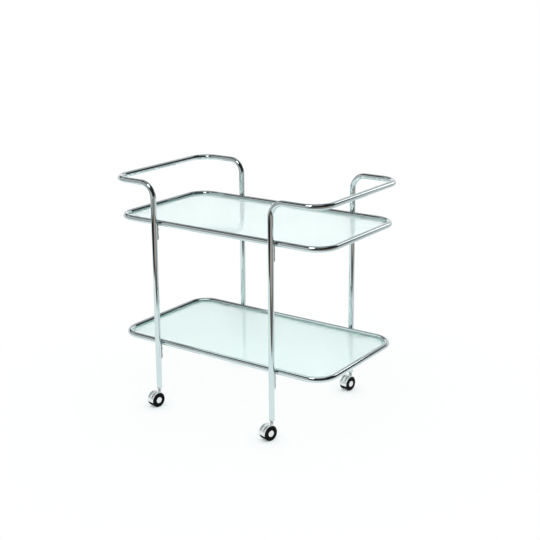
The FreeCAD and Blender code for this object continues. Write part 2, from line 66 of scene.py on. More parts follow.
MM = 0.001
PICTURE_WIDTH = 540
SKIN_UV = "skin"
RIM_MASK = "rim"
WHITE = (1.0, 1.0, 1.0, 1.0)
CORNERS = ("front_left", "front_right", "rear_left", "rear_right")
TRAYS = ("upper", "lower")
WHEEL_SIDES = {"right": 1.0, "left": -1.0}

# How finely the skins are divided, in points, or in steps for arcs
FINE_ARC = 14
PLAIN_ARC = 8
SMALL_ARC = 4
HOOD_ROWS = (16, 24, 30)
HOOD_COLUMNS = 9
WEB_ROWS = 20
WEB_COLUMNS = 8
CORE_FACE_POINTS = 33
CAP_FACE_POINTS = 17
DIMPLE_POINTS = 9

# Angles of the lower half of a pane's round edge in degrees, and the shares at which its flat rows lie
PANE_EDGE_ANGLES = (-90, -60, -30, 0)
PANE_SHARES = (0.02, 0.25, 0.5, 0.75, 0.985)

# Shares of a piece's own size: a screw socket's tip, a foot's bore by its stem, the easing of a collar by its
# height and of a boss by its radius, and the end of a dimple's rows
SOCKET_TIP_SHARE = 0.25
FOOT_BORE_SHARE = 0.5
COLLAR_EASE_SHARE = 0.25
BOSS_EASE_SHARE = 0.125
DIMPLE_END_SHARE = 0.08

# The power that keeps a hood level nearly to its side edges and its slots straight nearly to their ends, and
# the least square of a slot's width there
HOOD_POWER = 6
SLOT_END_LEAST = 0.04

# Creases from this angle on stay sharp or get eased, in so many steps
SHARP_ANGLE = math.radians(40)
EASED_SEGMENTS = 2

# Noise of the finishes: octaves of the drift, the grain and the rings, the drift's span, and the relief
DRIFT_DETAIL = 4.0
GRAIN_DETAIL = 2.0
RING_DETAIL = 3.0
DRIFT_SPAN = (0.3, 0.7)
RELIEF_DEPTH = 0.1 * MM

# Finishes: their colour, the deeper tone as another colour or a share of it, drift and grain per metre, least
# and most roughness, strength of the relief, rings along a turned profile, and the shader's constants
Finish = namedtuple("Finish", "pale deep drift grain roughness bump rings constants")
PLATED = {"Metallic": 1.0}
FINISHES = {
    "chrome_plate": Finish("chrome", "chrome_deep", 9, 900, (0.015, 0.05), 0.02, 0, PLATED),
    # The hood is chrome, made half diffuse with a pale colour: a painted reflection of white surroundings, so
    # it reads white where a mirror would show the dark room
    "hood_plate": Finish("hood", 0.9, 60, 1400, (0.14, 0.26), 0.04, 0, {"Metallic": 0.5}),
    "satin_steel": Finish("steel", 0.8, 120, 1800, (0.24, 0.42), 0.10, 0, PLATED),
    # The tabs' finish is a darker, teal copy of the steel: painted shade for the tabs that lie in shadow
    # under the green panes
    "tab_steel": Finish("tab", 0.8, 120, 1800, (0.30, 0.48), 0.10, 0, PLATED),
    "screw_plate": Finish("steel", 0.7, 300, 2200, (0.18, 0.34), 0.06, 0, PLATED),
    "stem_plate": Finish("stem", 0.8, 200, 1500, (0.16, 0.30), 0.12, 90, PLATED),
    "pressed_cap": Finish("cap", 0.9, 150, 1500, (0.22, 0.34), 0.06, 60, {"Metallic": 0.35}),
    "moulded_wheel": Finish("wheel", 1.8, 120, 2500, (0.24, 0.40), 0.08, 0, {"Specular IOR Level": 0.04}),
    "tread_rubber": Finish("tyre", 1.7, 140, 3000, (0.40, 0.60), 0.16, 0, {"Specular IOR Level": 0.03}),
    "soft_pad": Finish("pad", 0.94, 200, 2000, (0.18, 0.30), 0.05, 0,
                       {"Transmission Weight": 0.6, "IOR": 1.45}),
    "satin_glass": Finish("glass", 0.985, 5, 2600, (0.76, 0.92), 0.03, 0,
                          {"Transmission Weight": 0.55, "IOR": 1.15, "Coat Weight": 1.0,
                           "Coat Roughness": 0.015, "Coat IOR": 1.5}),
}

# Panels of light that mirrors see in the dark room: bearing from the camera's side, positive to its right,
# half the span, lowest and highest edge and soft edge, in degrees, and the level, where 1 is white
StudioPanel = namedtuple("StudioPanel", "bearing half_span lowest highest soft level")
STUDIO_PANELS = (
    StudioPanel(160, 32, 8, 48, 20, 0.58),
    StudioPanel(180, 65, -20, 19, 7, 0.92),
    StudioPanel(-145, 30, 30, 62, 14, 0.30),
    StudioPanel(-80, 40, 14, 38, 3, 0.66),
    StudioPanel(-80, 60, -25, 7, 3, 0.60),
    StudioPanel(100, 40, -20, 4, 5, 0.40),
    StudioPanel(0, 180, 66, 90, 10, 0.40),
)
ROOM_TONE = (0.025, 0.025, 0.025, 1.0)
SOFT_LIGHT = (0.92, 0.93, 0.94, 1.0)

# Where mirrors see the white floor give way to other tones: bearing as for the panels, then metres
FloorTone = namedtuple("FloorTone", "bearing reach fade tone")
FLOOR_TONES = (
    FloorTone(90, 0.40, 1.60, (0.60, 0.62, 0.63, 1.0)),
    FloorTone(15, 1.05, 0.12, (0.14, 0.115, 0.095, 1.0)),
    FloorTone(15, 1.60, 0.25, (0.46, 0.39, 0.35, 1.0)),
    FloorTone(-60, 1.85, 0.12, (0.02, 0.02, 0.02, 1.0)),
    FloorTone(-60, 3.05, 0.30, (0.60, 0.60, 0.59, 1.0)),
)
FLOOR_HALF = 12.0
CONTACT_SAMPLES = 16
# The paper's cyan shows only where the plain white gives way, so it colours the floor's shadows: painted
# shadow tint
PAPER = (0.82, 0.93, 0.95, 1.0)
MIRRORED_PAPER = (0.94, 1.0, 1.0, 1.0)

# Lamps: place, the point that they face, width, depth in metres, and watts
Lamp = namedtuple("Lamp", "name place target width depth watts")
LAMPS = (
    Lamp("key_lamp", (0.3, -1.5, 2.8), (0.0, 0.0, 0.4), 0.8, 0.8, 11),
    Lamp("side_lamp", (0.806, 1.02, 1.25), (1.556, 0.42, 0.97), 0.42, 0.6, 1.9),
)

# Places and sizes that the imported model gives, in metres
ring_low, ring_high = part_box("upper_tray_ring")
lower_ring_low, lower_ring_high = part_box("lower_tray_ring")
end_low, end_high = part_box("right_end_frame")
pane_low, pane_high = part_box("upper_glass_shelf")
TUBE_RADIUS = (ring_high.z - ring_low.z) / 2
TRAY_X = ring_high.x - TUBE_RADIUS
TRAY_Y = ring_high.y - TUBE_RADIUS
TRAY_HEIGHTS = {
    "upper": (ring_low.z + ring_high.z) / 2,
    "lower": (lower_ring_low.z + lower_ring_high.z) / 2,
}
LEG_X = end_low.x + TUBE_RADIUS
LEG_Y = end_high.y - TUBE_RADIUS
LEG_END = end_low.z
HANDLE_X = end_high.x - TUBE_RADIUS
HANDLE_HEIGHT = end_high.z - TUBE_RADIUS
PANE_BOTTOM = pane_low.z - TRAY_HEIGHTS["upper"]
PANE_TOP = pane_high.z - TRAY_HEIGHTS["upper"]
BOSS_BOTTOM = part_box("front_right_caster_stem")[0].z
JOINTS = {joint["name"]: joint for joint in frame["joints"]}


class TubeSizes(PropertyGroup):
    """Bends of the chrome tube, and how finely its skin is divided."""
    tray_corner: FloatProperty(
        name="Tray corner", description="Bend radius of the tray rings, at the centre line",
        default=72 * MM, min=0, unit="LENGTH")
    leg_bend: FloatProperty(
        name="Leg bend", description="Bend radius from a leg into its handle arm",
        default=50 * MM, min=0, unit="LENGTH")
    handle_corner: FloatProperty(
        name="Handle corner", description="Bend radius from a handle arm into the crossbar",
        default=70 * MM, min=0, unit="LENGTH")
    end_round: FloatProperty(
        name="End round", description="Rounding of a tube's cut end",
        default=0.5 * MM, min=0, unit="LENGTH")
    sides: IntProperty(name="Sides", description="Points around the tube", default=64, min=8)
    bend_steps: IntProperty(name="Bend steps", description="Steps along each bend", default=32, min=4)


class GlassSizes(PropertyGroup):
    """The glass panes' outline."""
    corner: FloatProperty(
        name="Corner", description="Corner radius of the panes", default=61 * MM, min=0, unit="LENGTH")
    edge_round: FloatProperty(
        name="Edge round", description="Rounding of the ground edge", default=1.2 * MM, min=0, unit="LENGTH")
    corner_steps: IntProperty(name="Corner steps", description="Steps round each corner", default=32, min=4)


class ScrewSizes(PropertyGroup):
    """Round-head screws that hold the leg brackets."""
    bracket_thickness: FloatProperty(
        name="Bracket thickness", description="Bracket plate from the leg to the screws' seat",
        default=4 * MM, unit="LENGTH")
    seat_gap: FloatProperty(
        name="Seat gap", description="Gap between the leg and its bracket", default=0.05 * MM, unit="LENGTH")
    upper_drop: FloatProperty(
        name="Upper drop", description="Upper screw below the ring's centre line",
        default=24.5 * MM, unit="LENGTH")
    lower_drop: FloatProperty(
        name="Lower drop", description="Lower screw below the ring's centre line",
        default=51 * MM, unit="LENGTH")
    head_radius: FloatProperty(
        name="Head radius", description="Radius of the round head", default=4.5 * MM, unit="LENGTH")
    head_height: FloatProperty(
        name="Head height", description="Height of the round head", default=5.5 * MM, unit="LENGTH")
    head_round: FloatProperty(
        name="Head round", description="Rounding of the head's shoulder", default=1.5 * MM, unit="LENGTH")
    socket_apothem: FloatProperty(
        name="Socket", description="Half the key size of the hexagon socket", default=1.5 * MM, unit="LENGTH")
    socket_depth: FloatProperty(
        name="Socket depth", description="Depth of the hexagon socket", default=2.5 * MM, unit="LENGTH")
    socket_point: FloatProperty(
        name="Socket point", description="Depth of the cone at the socket's floor",
        default=0.3 * MM, unit="LENGTH")
    sides: IntProperty(name="Sides", description="Points around a screw", default=48, min=6)


class CasterSizes(PropertyGroup):
    """Hooded twin-wheel casters."""
    hood_gap: FloatProperty(
        name="Hood gap", description="Clear space between tyre and hood", default=0.8 * MM, unit="LENGTH")
    hood_thickness: FloatProperty(
        name="Hood thickness", description="Wall of the hood", default=2 * MM, unit="LENGTH")
    hood_half_width: FloatProperty(
        name="Hood half width", description="Half the hood's width across the wheels",
        default=16 * MM, unit="LENGTH")
    hood_first: FloatProperty(
        name="Hood first angle", description="Lower trailing edge of the hood, about the axle",
        default=math.radians(-6), subtype="ANGLE")
    hood_last: FloatProperty(
        name="Hood last angle", description="Leading edge of the hood, about the axle",
        default=math.radians(145), subtype="ANGLE")
    hood_crown: FloatProperty(
        name="Hood crown", description="How far the hood's skin falls at its side edges",
        default=0.9 * MM, unit="LENGTH")
    hood_edge_round: FloatProperty(
        name="Hood edge round", description="Easing of the housing's sharp edges",
        default=0.35 * MM, unit="LENGTH")
    slot_offset: FloatProperty(
        name="Slot offset", description="Slots' middle lines from the caster's middle plane",
        default=8 * MM, unit="LENGTH")
    slot_half_width: FloatProperty(
        name="Slot half width", description="Half the width of a slot", default=2 * MM, unit="LENGTH")
    slot_first: FloatProperty(
        name="Slot first angle", description="Trailing end of the slots",
        default=math.radians(26), subtype="ANGLE")
    slot_last: FloatProperty(
        name="Slot last angle", description="Leading end of the slots",
        default=math.radians(84), subtype="ANGLE")
    boss_radius: FloatProperty(
        name="Boss radius", description="Radius of the stem boss and axle boss",
        default=6.5 * MM, unit="LENGTH")
    web_half_thickness: FloatProperty(
        name="Web half thickness", description="Half the web between the wheels",
        default=2.5 * MM, unit="LENGTH")
    web_first: FloatProperty(
        name="Web first angle", description="Trailing edge of the web",
        default=math.radians(78), subtype="ANGLE")
    web_last: FloatProperty(
        name="Web last angle", description="Leading edge of the web",
        default=math.radians(160), subtype="ANGLE")
    wheel_inner_face: FloatProperty(
        name="Inner face", description="Wheel's inner face from the caster's middle plane",
        default=6.8 * MM, unit="LENGTH")
    wheel_outer_face: FloatProperty(
        name="Outer face", description="Wheel's outer face from the caster's middle plane",
        default=17.3 * MM, unit="LENGTH")
    tyre_thickness: FloatProperty(
        name="Tyre thickness", description="Tyre from core to tread", default=4 * MM, unit="LENGTH")
    tyre_inner_round: FloatProperty(
        name="Tyre inner round", description="Tread edge beside the web", default=1.5 * MM, unit="LENGTH")
    tyre_outer_round: FloatProperty(
        name="Tyre outer round", description="Tread edge on the wheel's face",
        default=3.5 * MM, unit="LENGTH")
    core_inset: FloatProperty(
        name="Core inset", description="Core's outer face behind the tyre's", default=0.6 * MM, unit="LENGTH")
    core_relief: FloatProperty(
        name="Core relief", description="Height of the rings on the core's face",
        default=0.25 * MM, unit="LENGTH")
    edge_ease: FloatProperty(
        name="Edge ease", description="Easing of the core's and tyre's edges",
        default=0.3 * MM, unit="LENGTH")
    seat_gap: FloatProperty(
        name="Seat gap", description="Gap between pieces that fit together", default=0.05 * MM, unit="LENGTH")
    axle_radius: FloatProperty(
        name="Axle radius", description="Bore of the wheel core", default=3.05 * MM, unit="LENGTH")
    cap_radius: FloatProperty(
        name="Cap radius", description="Radius of the hub cap", default=11 * MM, unit="LENGTH")
    cap_edge_round: FloatProperty(
        name="Cap edge round", description="Rounding of the hub cap's edge", default=1.2 * MM, unit="LENGTH")
    cap_dome: FloatProperty(
        name="Cap dome", description="Rise of the hub cap's face to its middle",
        default=0.5 * MM, unit="LENGTH")
    cap_proud: FloatProperty(
        name="Cap proud", description="Hub cap's crown beyond the wheel's face",
        default=0.8 * MM, unit="LENGTH")
    cap_seat: FloatProperty(
        name="Cap seat", description="Hub cap's seat from the caster's middle plane",
        default=12.85 * MM, unit="LENGTH")
    dimple_radius: FloatProperty(
        name="Dimple radius", description="Dimple at the hub cap's middle", default=3 * MM, unit="LENGTH")
    dimple_depth: FloatProperty(
        name="Dimple depth", description="Depth of the hub cap's dimple", default=0.6 * MM, unit="LENGTH")
    collar_radius: FloatProperty(
        name="Collar radius", description="Collar of the stem", default=6 * MM, unit="LENGTH")
    collar_height: FloatProperty(
        name="Collar height", description="Height of the stem's collar", default=2 * MM, unit="LENGTH")
    stem_radius: FloatProperty(
        name="Stem radius", description="Radius of the stem", default=4 * MM, unit="LENGTH")
    stem_bore_gap: FloatProperty(
        name="Stem bore gap", description="Gap round the stem at its boss", default=0.3 * MM, unit="LENGTH")
    stem_hidden: FloatProperty(
        name="Stem hidden", description="Stem's reach into boss and foot", default=2 * MM, unit="LENGTH")
    foot_flat: FloatProperty(
        name="Foot flat", description="Radius of the flat under the leg foot",
        default=5.5 * MM, unit="LENGTH")
    sides: IntProperty(name="Sides", description="Points around wheels and stems", default=96, min=8)


class FinishColours(PropertyGroup):
    """Colours of the finishes."""
    chrome: FloatVectorProperty(
        name="Chrome", description="Reflected colour of the plating",
        default=(0.70, 0.775, 0.785), size=3, subtype="COLOR")
    chrome_deep: FloatVectorProperty(
        name="Chrome, smudged", description="Plating where it is handled",
        default=(0.64, 0.715, 0.73), size=3, subtype="COLOR")
    glass: FloatVectorProperty(
        name="Glass", description="Body of the frosted glass",
        default=(0.91, 1.0, 0.985), size=3, subtype="COLOR")
    glass_edge: FloatVectorProperty(
        name="Glass edge", description="Ground edge of the glass", default=(0.36, 0.62, 0.56), size=3,
        subtype="COLOR")
    steel: FloatVectorProperty(
        name="Steel", description="Brackets and screws",
        default=(0.34, 0.365, 0.365), size=3, subtype="COLOR")
    # Steel made darker and teal for the tabs: painted shade for their place under the glass panes
    tab: FloatVectorProperty(
        name="Tab", description="Tabs under the glass", default=(0.16, 0.21, 0.20), size=3, subtype="COLOR")
    stem: FloatVectorProperty(
        name="Stem", description="Caster stems and axles",
        default=(0.76, 0.75, 0.73), size=3, subtype="COLOR")
    # Pale colour of the half-diffuse hood: painted reflection of white surroundings on the chrome
    hood: FloatVectorProperty(
        name="Hood", description="Caster hoods", default=(0.86, 0.88, 0.88), size=3, subtype="COLOR")
    wheel: FloatVectorProperty(
        name="Wheel", description="Moulded wheel cores",
        default=(0.003, 0.003, 0.0035), size=3, subtype="COLOR")
    tyre: FloatVectorProperty(
        name="Tyre", description="Tyres", default=(0.005, 0.005, 0.0055), size=3, subtype="COLOR")
    cap: FloatVectorProperty(
        name="Hub cap", description="Hub caps", default=(0.86, 0.87, 0.86), size=3, subtype="COLOR")
    pad: FloatVectorProperty(
        name="Pad", description="Clear pads under the glass",
        default=(0.88, 0.93, 0.92), size=3, subtype="COLOR")


class StageSettings(PropertyGroup):
    """Camera and studio."""
    camera_azimuth: FloatProperty(
        name="Azimuth", description="Camera's turn from the front towards the right end",
        default=math.radians(35.005), subtype="ANGLE")
    camera_elevation: FloatProperty(
        name="Elevation", description="Camera's height above the level", default=math.radians(14.003),
        subtype="ANGLE")
    camera_roll: FloatProperty(
        name="Roll", description="Camera's lean", default=math.radians(-0.376), subtype="ANGLE")
    camera_distance: FloatProperty(
        name="Distance", description="Camera to its target", default=3.682, unit="LENGTH")
    camera_target: FloatVectorProperty(
        name="Target", description="Point on the camera's axis", default=(0.06476, -0.0010, 0.67122), size=3,
        subtype="XYZ", unit="LENGTH")
    camera_focal_share: FloatProperty(
        name="Focal share", description="Focal length as a share of the picture's width",
        default=1059.87 / PICTURE_WIDTH)
    camera_shift: FloatProperty(
        name="Shift", description="Vertical shift as a share of the picture's width",
        default=-49.5 / PICTURE_WIDTH)
    glow_near: FloatProperty(
        name="Glow near", description="Distance within which the floor takes most of the shadow",
        default=0.40, unit="LENGTH")
    glow_far: FloatProperty(
        name="Glow far", description="Distance from which the floor is plain white",
        default=1.20, unit="LENGTH")
    contact_reach: FloatProperty(
        name="Contact reach", description="How near a wheel the floor loses its plain white",
        default=60 * MM, unit="LENGTH")
    glow_least: FloatProperty(
        name="Glow least", description="Share of plain white in the floor under the trolley", default=0.90,
        subtype="FACTOR")


# Skins: each shape is rows of points, given as arrays

def loft(rows, closed=False):
    """Skin over loops of points; rows[i, j] is point j of loop i.

    A quad joins loops i and i + 1 between points j and j + 1, where j runs round. A closed skin joins its
    last loop to its first. An open one ends in fans about the middle of its end loops. Loops that run
    anticlockwise about the way of travel give faces that point outwards.
    """
    count, around = rows.shape[:2]
    index = np.arange(count * around).reshape(count, around)
    first = index if closed else index[:-1]
    last = np.roll(index, -1, axis=0) if closed else index[1:]
    quads = np.stack([first, np.roll(first, -1, 1), np.roll(last, -1, 1), last], axis=-1)
    across, along = np.meshgrid(np.arange(around), np.arange(len(first)))
    places = np.stack([np.stack([across + a, along + b], -1) for a, b in ((0, 0), (1, 0), (1, 1), (0, 1))], 2)
    uvs = [places.reshape(-1, 2) / (around, max(count - 1, 1))]
    points = rows.reshape(-1, 3)
    faces = quads.reshape(-1, 4).tolist()
    if not closed:
        middle = len(points)
        points = np.vstack([points, rows[0].mean(0), rows[-1].mean(0)])
        ends = [
            np.stack([np.full(around, middle), np.roll(index[0], -1), index[0]], -1),
            np.stack([np.full(around, middle + 1), index[-1], np.roll(index[-1], -1)], -1),
        ]
        faces += np.vstack(ends).tolist()
        uvs += [np.repeat([[0.5, 0.0], [0.5, 1.0]], 3 * around, axis=0)]
    return points, faces, np.vstack(uvs)


def thick_sheet(outer, inner, keep):
    """Two like grids of points made a closed wall; keep[i, j] says which grid faces are there.

    The outer grid's faces point out, the inner grid's are turned over, and a wall face closes each edge
    that has a kept face on one side only.
    """
    rows, columns = outer.shape[:2]
    top = np.arange(rows * columns).reshape(rows, columns)
    under = top + rows * columns
    ring = np.pad(keep, 1)

    def cells(grid):
        return np.stack([grid[:-1, :-1], grid[:-1, 1:], grid[1:, 1:], grid[1:, :-1]], -1)[keep]

    def wall(here, there, chosen):
        return np.stack([top[here], top[there], under[there], under[here]], -1)[chosen]

    after, before = ring[1:, 1:-1], ring[:-1, 1:-1]
    right, left = ring[1:-1, 1:], ring[1:-1, :-1]
    start, end = np.s_[:, :-1], np.s_[:, 1:]
    low, high = np.s_[:-1, :], np.s_[1:, :]
    faces = np.vstack([
        cells(top),
        cells(under)[:, ::-1],
        wall(end, start, after & ~before),
        wall(start, end, before & ~after),
        wall(low, high, right & ~left),
        wall(high, low, left & ~right),
    ])
    points = np.vstack([outer.reshape(-1, 3), inner.reshape(-1, 3)])
    return points, faces.tolist(), np.zeros((4 * len(faces), 2))


def bent_path(corners, radii, steps, closed=False):
    """Stations and directions of a tube's centre line, with each corner bent to an arc.

    At a corner c between unit runs a and b that turn by t, the arc of radius r starts at
    s = c - a r tan(t/2) about o = c + (b - a) r / (|b - a| cos(t/2)). Its points are
    o + (s - o) cos p + a r sin p and its directions a cos p - (s - o) sin p / r, for p from 0 to t.
    """
    corners = np.asarray(corners, float)
    runs = np.roll(corners, -1, axis=0) - corners
    runs /= np.linalg.norm(runs, axis=1)[:, None]
    bends = range(len(corners)) if closed else range(1, len(corners) - 1)
    stations = []
    directions = []
    for here, radius in zip(bends, radii):
        a, b = runs[here - 1], runs[here]
        turn = math.acos(np.clip(a @ b, -1, 1))
        start = corners[here] - a * radius * math.tan(turn / 2)
        middle = corners[here] + (b - a) / np.linalg.norm(b - a) * radius / math.cos(turn / 2)
        part = np.linspace(0, turn, steps + 1)[:, None]
        stations.append(middle + (start - middle) * np.cos(part) + a * radius * np.sin(part))
        directions.append(a * np.cos(part) - (start - middle) / radius * np.sin(part))
    if not closed:
        stations = [corners[:1]] + stations + [corners[-1:]]
        directions = [runs[:1]] + directions + [runs[-2:-1]]
    return np.vstack(stations), np.vstack(directions)


def round_tube(stations, directions, lean, radius, sides, closed=False, end_round=0.0):
    """Skin of a round tube: at each station, p + r (u cos a + v sin a).

    u is the lean direction made square to the path and v is the path's direction crossed with u. An open
    tube's cut ends are eased by one smaller loop.
    """
    radii = np.full(len(stations), radius)
    if not closed:
        ease = end_round * directions[[0, -1]]
        stations = np.vstack([stations[:1], stations[:1] + ease[:1], stations[1:-1],
                              stations[-1:] - ease[1:], stations[-1:]])
        directions = np.vstack([directions[:1], directions, directions[-1:]])
        radii = np.concatenate([[radius - end_round], radii, [radius - end_round]])
    lean = np.asarray(lean, float)
    u = lean - (directions @ lean)[:, None] * directions
    u /= np.linalg.norm(u, axis=1)[:, None]
    v = np.cross(directions, u)
    angle = np.arange(sides)[:, None] * 2 * math.pi / sides
    ring = u[:, None] * np.cos(angle) + v[:, None] * np.sin(angle)
    return loft(stations[:, None] + radii[:, None, None] * ring, closed)


def turned(profile, sides, closed=False):
    """A profile of (radius, height) pairs turned about Z: (r cos a, r sin a, h).

    The profile climbs along the outside. A closed one comes back along the bore.
    """
    radius, height = np.asarray(profile, float).T[:, :, None]
    angle = np.arange(sides) * 2 * math.pi / sides
    rows = np.stack([radius * np.cos(angle), radius * np.sin(angle), height + 0 * angle], -1)
    return loft(rows, closed)


def arc(centre, radius, first, last, steps=PLAIN_ARC):
    """Points of a profile's arc: centre + radius (cos a, sin a), angles in degrees."""
    angle = np.radians(np.linspace(first, last, steps + 1))
    return np.stack([centre[0] + radius * np.cos(angle), centre[1] + radius * np.sin(angle)], -1)


def moved(part, axes=np.eye(3), origin=(0, 0, 0)):
    """A part set in another frame: x X + y Y + z Z + origin, where the rows of axes are X, Y and Z."""
    points, faces, uvs = part
    return points @ np.asarray(axes) + np.asarray(origin), faces, uvs


def new_piece(name, parts, finish, body, stands_for, bevel=0.0):
    """One mesh object from several closed parts, riding on a body in place of its solids."""
    offsets = np.cumsum([0] + [len(points) for points, _, _ in parts])
    faces = [[corner + offset for corner in face]
             for (_, part_faces, _), offset in zip(parts, offsets) for face in part_faces]
    mesh = bpy.data.meshes.new(name)
    mesh.from_pydata(np.vstack([points for points, _, _ in parts]), [], faces)
    skin = mesh.uv_layers.new(name=SKIN_UV)
    skin.data.foreach_set("uv", np.vstack([uvs for _, _, uvs in parts]).ravel().astype(np.float32))
    mesh.shade_smooth()
    mesh.set_sharp_from_angle(angle=SHARP_ANGLE)
    mesh.materials.append(finish)
    piece = bpy.data.objects.new(name, mesh)
    bpy.context.scene.collection.objects.link(piece)
    if bevel:
        eased = piece.modifiers.new("eased_edges", "BEVEL")
        eased.width = bevel
        eased.segments = EASED_SEGMENTS
        eased.limit_method = "ANGLE"
        eased.angle_limit = SHARP_ANGLE
    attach(piece, body)
    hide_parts(*stands_for)
    return piece


# Finishes: procedural materials, with the shared effects as node groups

def put(tree, kind, inputs=(), **settings):
    """A new node with its settings, and its inputs set to values or linked to other nodes' outputs."""
    node = tree.nodes.new(kind)
    for key, value in settings.items():
        setattr(node, key, value)
    for key, value in dict(inputs).items():
        if isinstance(value, bpy.types.NodeSocket):
            tree.links.new(value, node.inputs[key])
        else:
            node.inputs[key].default_value = value
    return node


def rgba(colour):
    """A colour with full opacity."""
    return (*colour, 1.0)


def new_group(name, inputs, outputs):
    """An empty node group with named sockets, and its input and output nodes."""
    tree = bpy.data.node_groups.new(name, "ShaderNodeTree")
    for direction, sockets in (("INPUT", inputs), ("OUTPUT", outputs)):
        for socket, kind in sockets:
            tree.interface.new_socket(socket, in_out=direction, socket_type=f"NodeSocket{kind}")
    return tree, tree.nodes.new("NodeGroupInput"), tree.nodes.new("NodeGroupOutput")


def surface_marks():
    """Shared group: a slow drift between two colours, a roughness that wanders, and a fine grain."""
    name = "surface_marks"
    if name in bpy.data.node_groups:
        return bpy.data.node_groups[name]
    tree, given, result = new_group(
        name,
        [("Vector", "Vector"), ("Drift Scale", "Float"), ("Grain Scale", "Float"), ("Pale", "Color"),
         ("Deep", "Color"), ("Least Roughness", "Float"), ("Most Roughness", "Float")],
        [("Colour", "Color"), ("Roughness", "Float"), ("Height", "Float")])
    drift = put(tree, "ShaderNodeTexNoise",
                {"Vector": given.outputs["Vector"], "Scale": given.outputs["Drift Scale"],
                 "Detail": DRIFT_DETAIL})
    grain = put(tree, "ShaderNodeTexNoise",
                {"Vector": given.outputs["Vector"], "Scale": given.outputs["Grain Scale"],
                 "Detail": GRAIN_DETAIL})
    least, most = DRIFT_SPAN
    spread = put(tree, "ShaderNodeMapRange",
                 {"Value": drift.outputs["Fac"], "From Min": least, "From Max": most})
    colour = put(tree, "ShaderNodeMix",
                 {"Factor": spread.outputs["Result"], "A": given.outputs["Pale"], "B": given.outputs["Deep"]},
                 data_type="RGBA")
    both = put(tree, "ShaderNodeMath",
               {0: spread.outputs["Result"], 1: grain.outputs["Fac"]}, operation="MULTIPLY")
    roughness = put(tree, "ShaderNodeMapRange",
                    {"Value": both.outputs["Value"], "To Min": given.outputs["Least Roughness"],
                     "To Max": given.outputs["Most Roughness"]})
    for socket, source in (("Colour", colour.outputs["Result"]), ("Roughness", roughness.outputs["Result"]),
                           ("Height", grain.outputs["Fac"])):
        tree.links.new(source, result.inputs[socket])
    return tree


def turning_marks():
    """Shared group: fine rings round a turned piece, from how far along its profile a point lies."""
    name = "turning_marks"
    if name in bpy.data.node_groups:
        return bpy.data.node_groups[name]
    tree, given, result = new_group(name, [("Rings", "Float")], [("Height", "Float")])
    skin = put(tree, "ShaderNodeUVMap", uv_map=SKIN_UV)
    place = put(tree, "ShaderNodeSeparateXYZ", {"Vector": skin.outputs["UV"]})
    rings = put(tree, "ShaderNodeTexNoise",
                {"W": place.outputs["Y"], "Scale": given.outputs["Rings"], "Detail": RING_DETAIL},
                noise_dimensions="1D")
    tree.links.new(rings.outputs["Fac"], result.inputs["Height"])
    return tree


def marked_material(name, pale, deep, given):
    """A Principled material whose colour, roughness and relief come from the shared marks."""
    material = bpy.data.materials.new(name)
    material.use_nodes = True
    tree = material.node_tree
    shader = tree.nodes["Principled BSDF"]
    where = put(tree, "ShaderNodeTexCoord")
    marks = put(tree, "ShaderNodeGroup", node_tree=surface_marks())
    tree.links.new(where.outputs["Object"], marks.inputs["Vector"])
    least, most = given.roughness
    for socket, value in (("Drift Scale", given.drift), ("Grain Scale", given.grain), ("Pale", rgba(pale)),
                          ("Deep", rgba(deep)), ("Least Roughness", least), ("Most Roughness", most)):
        marks.inputs[socket].default_value = value
    height = marks.outputs["Height"]
    if given.rings:
        turning = put(tree, "ShaderNodeGroup", node_tree=turning_marks())
        turning.inputs["Rings"].default_value = given.rings
        height = turning.outputs["Height"]
    relief = put(tree, "ShaderNodeBump", {"Height": height, "Strength": given.bump, "Distance": RELIEF_DEPTH})
    tree.links.new(marks.outputs["Colour"], shader.inputs["Base Color"])
    tree.links.new(marks.outputs["Roughness"], shader.inputs["Roughness"])
    tree.links.new(relief.outputs["Normal"], shader.inputs["Normal"])
    for socket, value in given.constants.items():
        shader.inputs[socket].default_value = value
    return material


def tint_ground_edge(material):
    """Glass made greener along its ground edge, where the pane's mask is 1."""
    tree = material.node_tree
    shader = tree.nodes["Principled BSDF"]
    body = shader.inputs["Base Color"].links[0].from_socket
    edge = rgba(bpy.context.scene.trolley_colours.glass_edge)
    rim = put(tree, "ShaderNodeAttribute", attribute_name=RIM_MASK)
    tinted = put(tree, "ShaderNodeMix",
                 {"Factor": rim.outputs["Fac"], "A": body, "B": edge}, data_type="RGBA")
    tree.links.new(tinted.outputs["Result"], shader.inputs["Base Color"])


def finish(name):
    """The named finish, made on first use."""
    if name in bpy.data.materials:
        return bpy.data.materials[name]
    colours = bpy.context.scene.trolley_colours
    given = FINISHES[name]
    pale = getattr(colours, given.pale)
    if isinstance(given.deep, str):
        deep = getattr(colours, given.deep)
    else:
        deep = [given.deep * part for part in pale]
    material = marked_material(name, pale, deep, given)
    if name == "satin_glass":
        tint_ground_edge(material)
    return material


# Pieces

class TROLLEY_OT_end_frames(Operator):
    """Lay chrome tube over the two end frames: leg, arm, crossbar, arm and leg in one bent length."""
    bl_idname = "trolley.end_frames"
    bl_label = "End frames"

    def execute(self, context):
        sizes = context.scene.trolley_tubes
        radii = (sizes.leg_bend, sizes.handle_corner, sizes.handle_corner, sizes.leg_bend)
        for side, x in (("left", -1.0), ("right", 1.0)):
            corners = [
                (x * LEG_X, -LEG_Y, LEG_END),
                (x * LEG_X, -LEG_Y, HANDLE_HEIGHT),
                (x * HANDLE_X, -LEG_Y, HANDLE_HEIGHT),
                (x * HANDLE_X, LEG_Y, HANDLE_HEIGHT),
                (x * LEG_X, LEG_Y, HANDLE_HEIGHT),
                (x * LEG_X, LEG_Y, LEG_END),
            ]
            path = bent_path(corners, radii, sizes.bend_steps)
            tube = round_tube(*path, (x, -1, 1), TUBE_RADIUS, sizes.sides, end_round=sizes.end_round)
            node = f"{side}_end_frame"
            new_piece(f"{node}_tube", [tube], finish("chrome_plate"), "frame", [node])
        return {"FINISHED"}


